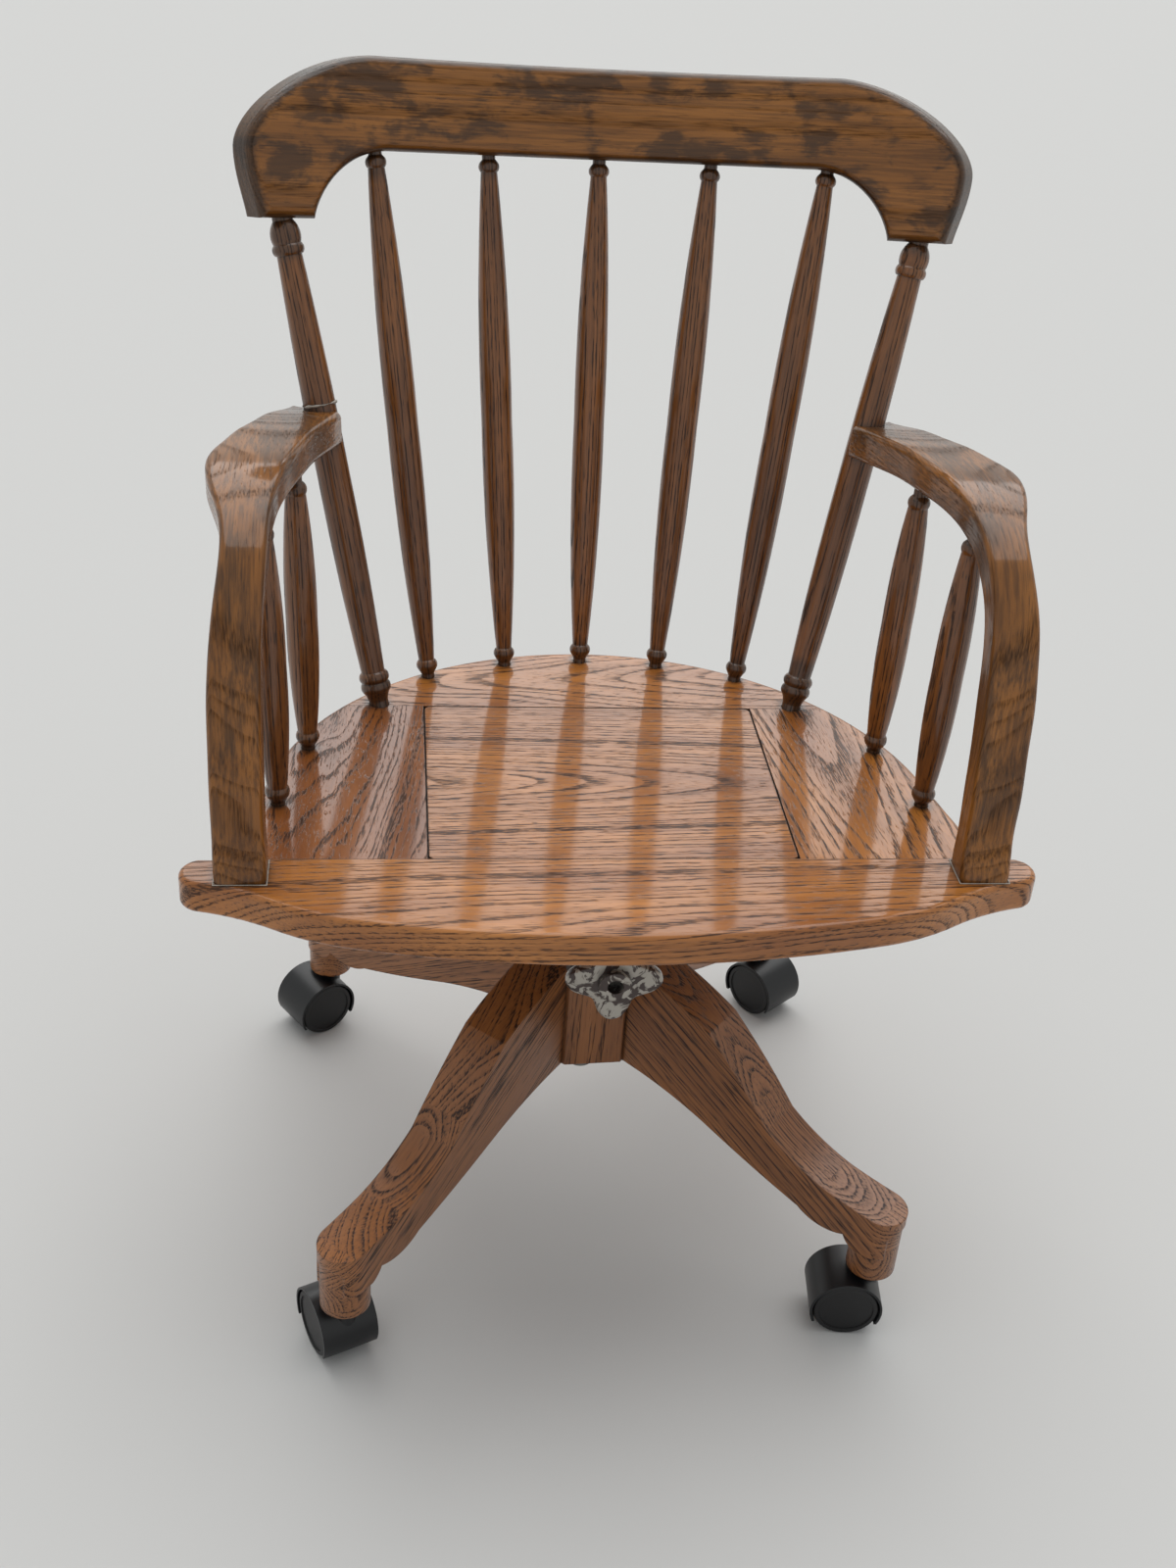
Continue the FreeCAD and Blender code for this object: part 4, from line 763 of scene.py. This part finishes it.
def makeSpring(look):
    low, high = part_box("tension_spring")
    middle = (low + high) / 2
    reach = (high.x - low.x) / 2 - look["wire"] / 2 - look["slack"]
    bpy.ops.object.select_all(action="DESELECT")
    bpy.ops.mesh.primitive_circle_add(vertices=look["sides"], radius=look["wire"] / 2,
                                      location=(middle.x, low.y + look["wire"] / 2, middle.z))
    coil = bpy.context.object
    coil.name = "coilSpring"
    bpy.ops.object.mode_set(mode="EDIT")
    bpy.ops.mesh.select_all(action="SELECT")
    bpy.ops.transform.translate(value=(reach, 0, 0))
    bpy.ops.object.mode_set(mode="OBJECT")
    screw = coil.modifiers.new("coil", "SCREW")
    screw.axis = "Y"
    screw.angle = 2 * math.pi * look["turns"]
    screw.screw_offset = high.y - low.y - look["wire"]
    screw.steps = screw.render_steps = look["steps"] * look["turns"]
    bpy.ops.object.modifier_apply(modifier=screw.name)
    bpy.ops.object.mode_set(mode="EDIT")
    bpy.ops.mesh.select_all(action="DESELECT")
    bpy.ops.mesh.select_non_manifold()
    bpy.ops.mesh.fill_holes(sides=look["sides"])
    bpy.ops.object.mode_set(mode="OBJECT")
    finishPiece(coil, oiledSteel, "column")
    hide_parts("tension_spring")
    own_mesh(coil)


makeSpring(springSizes)
print("spring wound")

glueLook = {
    "thick": 0.0011,     # half the bead's height where a post meets an arm
    "proud": 0.0006,     # how far its middle stands off the post
    "rounds": (56, 12),  # points round the post and round the bead
    "lump": 0.0062,
    "lumpSize": 0.014,
    "lumpMiddle": 0.60,
    "atPost": 0.024,     # the arm's points this near the post's line are round its hole
    "armHeight": 0.15,   # and at least this far above the seat
    "postSpan": 0.03,    # the post's radius is measured this far up and down from there
    "postRadius": 0.0125,
    "footLine": 0.0007,  # how far the line shows round an arm's foot
    "footWide": 1.3,     # its width and height as shares of that
    "footTall": 0.8,
    "footSoft": 0.4,
    "footNear": 0.002,   # the arm's points this near the seat are its foot
}


# old glue squeezed out round a post where it passes the arm
def makeGlueCollar(side, look):
    foot, top = ends("back_post_" + side)
    line = (top - foot).normalized()
    points = [v.co for v in nodes["arm_" + side].data.vertices]

    def fromPost(p):
        return ((p - foot) - line * (p - foot).dot(line)).length

    level = max(p.z for p in points
                if fromPost(p) < look["atPost"] and p.z > seatTop + look["armHeight"])
    centre = foot + line * ((level - foot.z) / line.z)
    post = [v.co for v in nodes["back_post_" + side].data.vertices]
    near = [fromPost(p) for p in post if abs(p.z - level) < look["postSpan"]]
    radius = sum(near) / len(near) if near else look["postRadius"]
    bpy.ops.object.select_all(action="DESELECT")
    bpy.ops.mesh.primitive_torus_add(location=centre,
                                     rotation=line.to_track_quat("Z", "Y").to_euler(),
                                     major_radius=radius + look["proud"],
                                     minor_radius=look["thick"],
                                     major_segments=look["rounds"][0],
                                     minor_segments=look["rounds"][1])
    glue = bpy.context.object
    glue.name = "glueCollar_" + side
    clouds = bpy.data.textures.new("glueLumps_" + side, "CLOUDS")
    clouds.noise_scale = look["lumpSize"]
    lumps = glue.modifiers.new("lumps", "DISPLACE")
    lumps.texture = clouds
    lumps.texture_coords = "LOCAL"
    lumps.strength = look["lump"]
    lumps.mid_level = look["lumpMiddle"]
    smooth = glue.modifiers.new("smooth", "SUBSURF")
    smooth.levels = smooth.render_levels = 1
    finishPiece(glue, oldGlue, "chair")


# a thin line of glue along the foot of an arm
def makeGlueLine(side, look):
    points = [v.co for v in nodes["arm_" + side].data.vertices
              if v.co.z < seatTop + look["footNear"]]
    lowX, highX = min(p.x for p in points), max(p.x for p in points)
    lowY, highY = min(p.y for p in points), max(p.y for p in points)
    wide = look["footLine"]
    bpy.ops.object.select_all(action="DESELECT")
    bpy.ops.mesh.primitive_plane_add(size=1, location=((lowX + highX) / 2, (lowY + highY) / 2,
                                                       seatTop))
    strip = bpy.context.object
    strip.name = "glueLine_" + side
    bpy.ops.object.mode_set(mode="EDIT")
    bpy.ops.mesh.select_all(action="SELECT")
    bpy.ops.transform.resize(value=(highX - lowX + 2 * wide, highY - lowY + 2 * wide, 1))
    bpy.ops.mesh.subdivide(number_cuts=3)
    bpy.ops.mesh.inset(thickness=wide * look["footWide"], use_even_offset=True)
    bpy.ops.mesh.delete(type="FACE")
    bpy.ops.mesh.select_all(action="SELECT")
    rise = (0, 0, wide * look["footTall"])
    bpy.ops.mesh.extrude_region_move(TRANSFORM_OT_translate={"value": rise})
    bpy.ops.object.mode_set(mode="OBJECT")
    soften = strip.modifiers.new("soften", "BEVEL")
    soften.width = wide * look["footSoft"]
    soften.segments = 2
    finishPiece(strip, oldGlue, "chair", smooth=40)


makeGlueCollar("left", glueLook)
for side in ("left", "right"):
    makeGlueLine(side, glueLook)
print("glue added")

studio = {
    "floor": "#C9C8C5",
    "floorSize": 120,
    "floorRoughness": 0.85,
    "sky": "#F1F4F7",
    "backdrop": "#D5D6D4",   # seen above the floor's far edge, as pale as the floor
    "skyLow": 0.24,          # strength at the horizon and straight up
    "skyHigh": 0.85,
    "sunStrength": 1.9,      # a wide soft light, high behind the chair
    "sunAngle": 72,
    "sunHeight": 61,
    "sunTurn": -8,
}
bpy.ops.object.select_all(action="DESELECT")
bpy.ops.mesh.primitive_plane_add(size=studio["floorSize"], location=(0, 0, 0))
floor = bpy.context.object
floor.name = "floor"
# matt pale paint: no sheen, so that only the chair's soft shadow shows on it
paleFloor, tree, output = newMaterial("paleFloor")
shader = addNode(tree, "ShaderNodeBsdfPrincipled", None,
                 {"Base Color": hexColour(studio["floor"]),
                  "Roughness": studio["floorRoughness"]})
tree.links.new(shader.outputs[0], output.inputs["Surface"])
floor.data.materials.append(paleFloor)

world = bpy.data.worlds.new("world")
bpy.context.scene.world = world
world.use_nodes = True
sky = world.node_tree
direction = addNode(sky, "ShaderNodeTexCoord").outputs["Generated"]
height = addNode(sky, "ShaderNodeSeparateXYZ", None, {0: direction}).outputs["Z"]
strength = addNode(sky, "ShaderNodeMapRange", None,
                   {"Value": height, "To Min": studio["skyLow"],
                    "To Max": studio["skyHigh"]}).outputs[0]
light = sky.nodes["Background"]
light.inputs["Color"].default_value = hexColour(studio["sky"])
sky.links.new(strength, light.inputs["Strength"])
backdrop = addNode(sky, "ShaderNodeBackground", None, {"Color": hexColour(studio["backdrop"])})
ray = addNode(sky, "ShaderNodeLightPath").outputs
seen = ray["Is Camera Ray"]
for kind in ("Is Glossy Ray", "Is Transmission Ray"):
    seen = addNode(sky, "ShaderNodeMath", {"operation": "MAXIMUM"},
                   {0: seen, 1: ray[kind]}).outputs[0]
both = addNode(sky, "ShaderNodeMixShader", None,
               {0: seen, 1: light.outputs[0], 2: backdrop.outputs[0]}).outputs[0]
sky.links.new(both, sky.nodes["World Output"].inputs["Surface"])

lamp = bpy.data.lights.new("softSky", "SUN")
lamp.energy = studio["sunStrength"]
lamp.angle = math.radians(studio["sunAngle"])
sun = bpy.data.objects.new("softSky", lamp)
bpy.context.scene.collection.objects.link(sun)
sunTurn = Matrix.Rotation(math.radians(studio["sunTurn"]), 3, "Z")
sunLean = Matrix.Rotation(math.radians(studio["sunHeight"] - 90), 3, "X")
sun.rotation_euler = (sunTurn @ sunLean).to_euler()

bpy.context.scene.view_settings.view_transform = "Standard"
print("studio set")
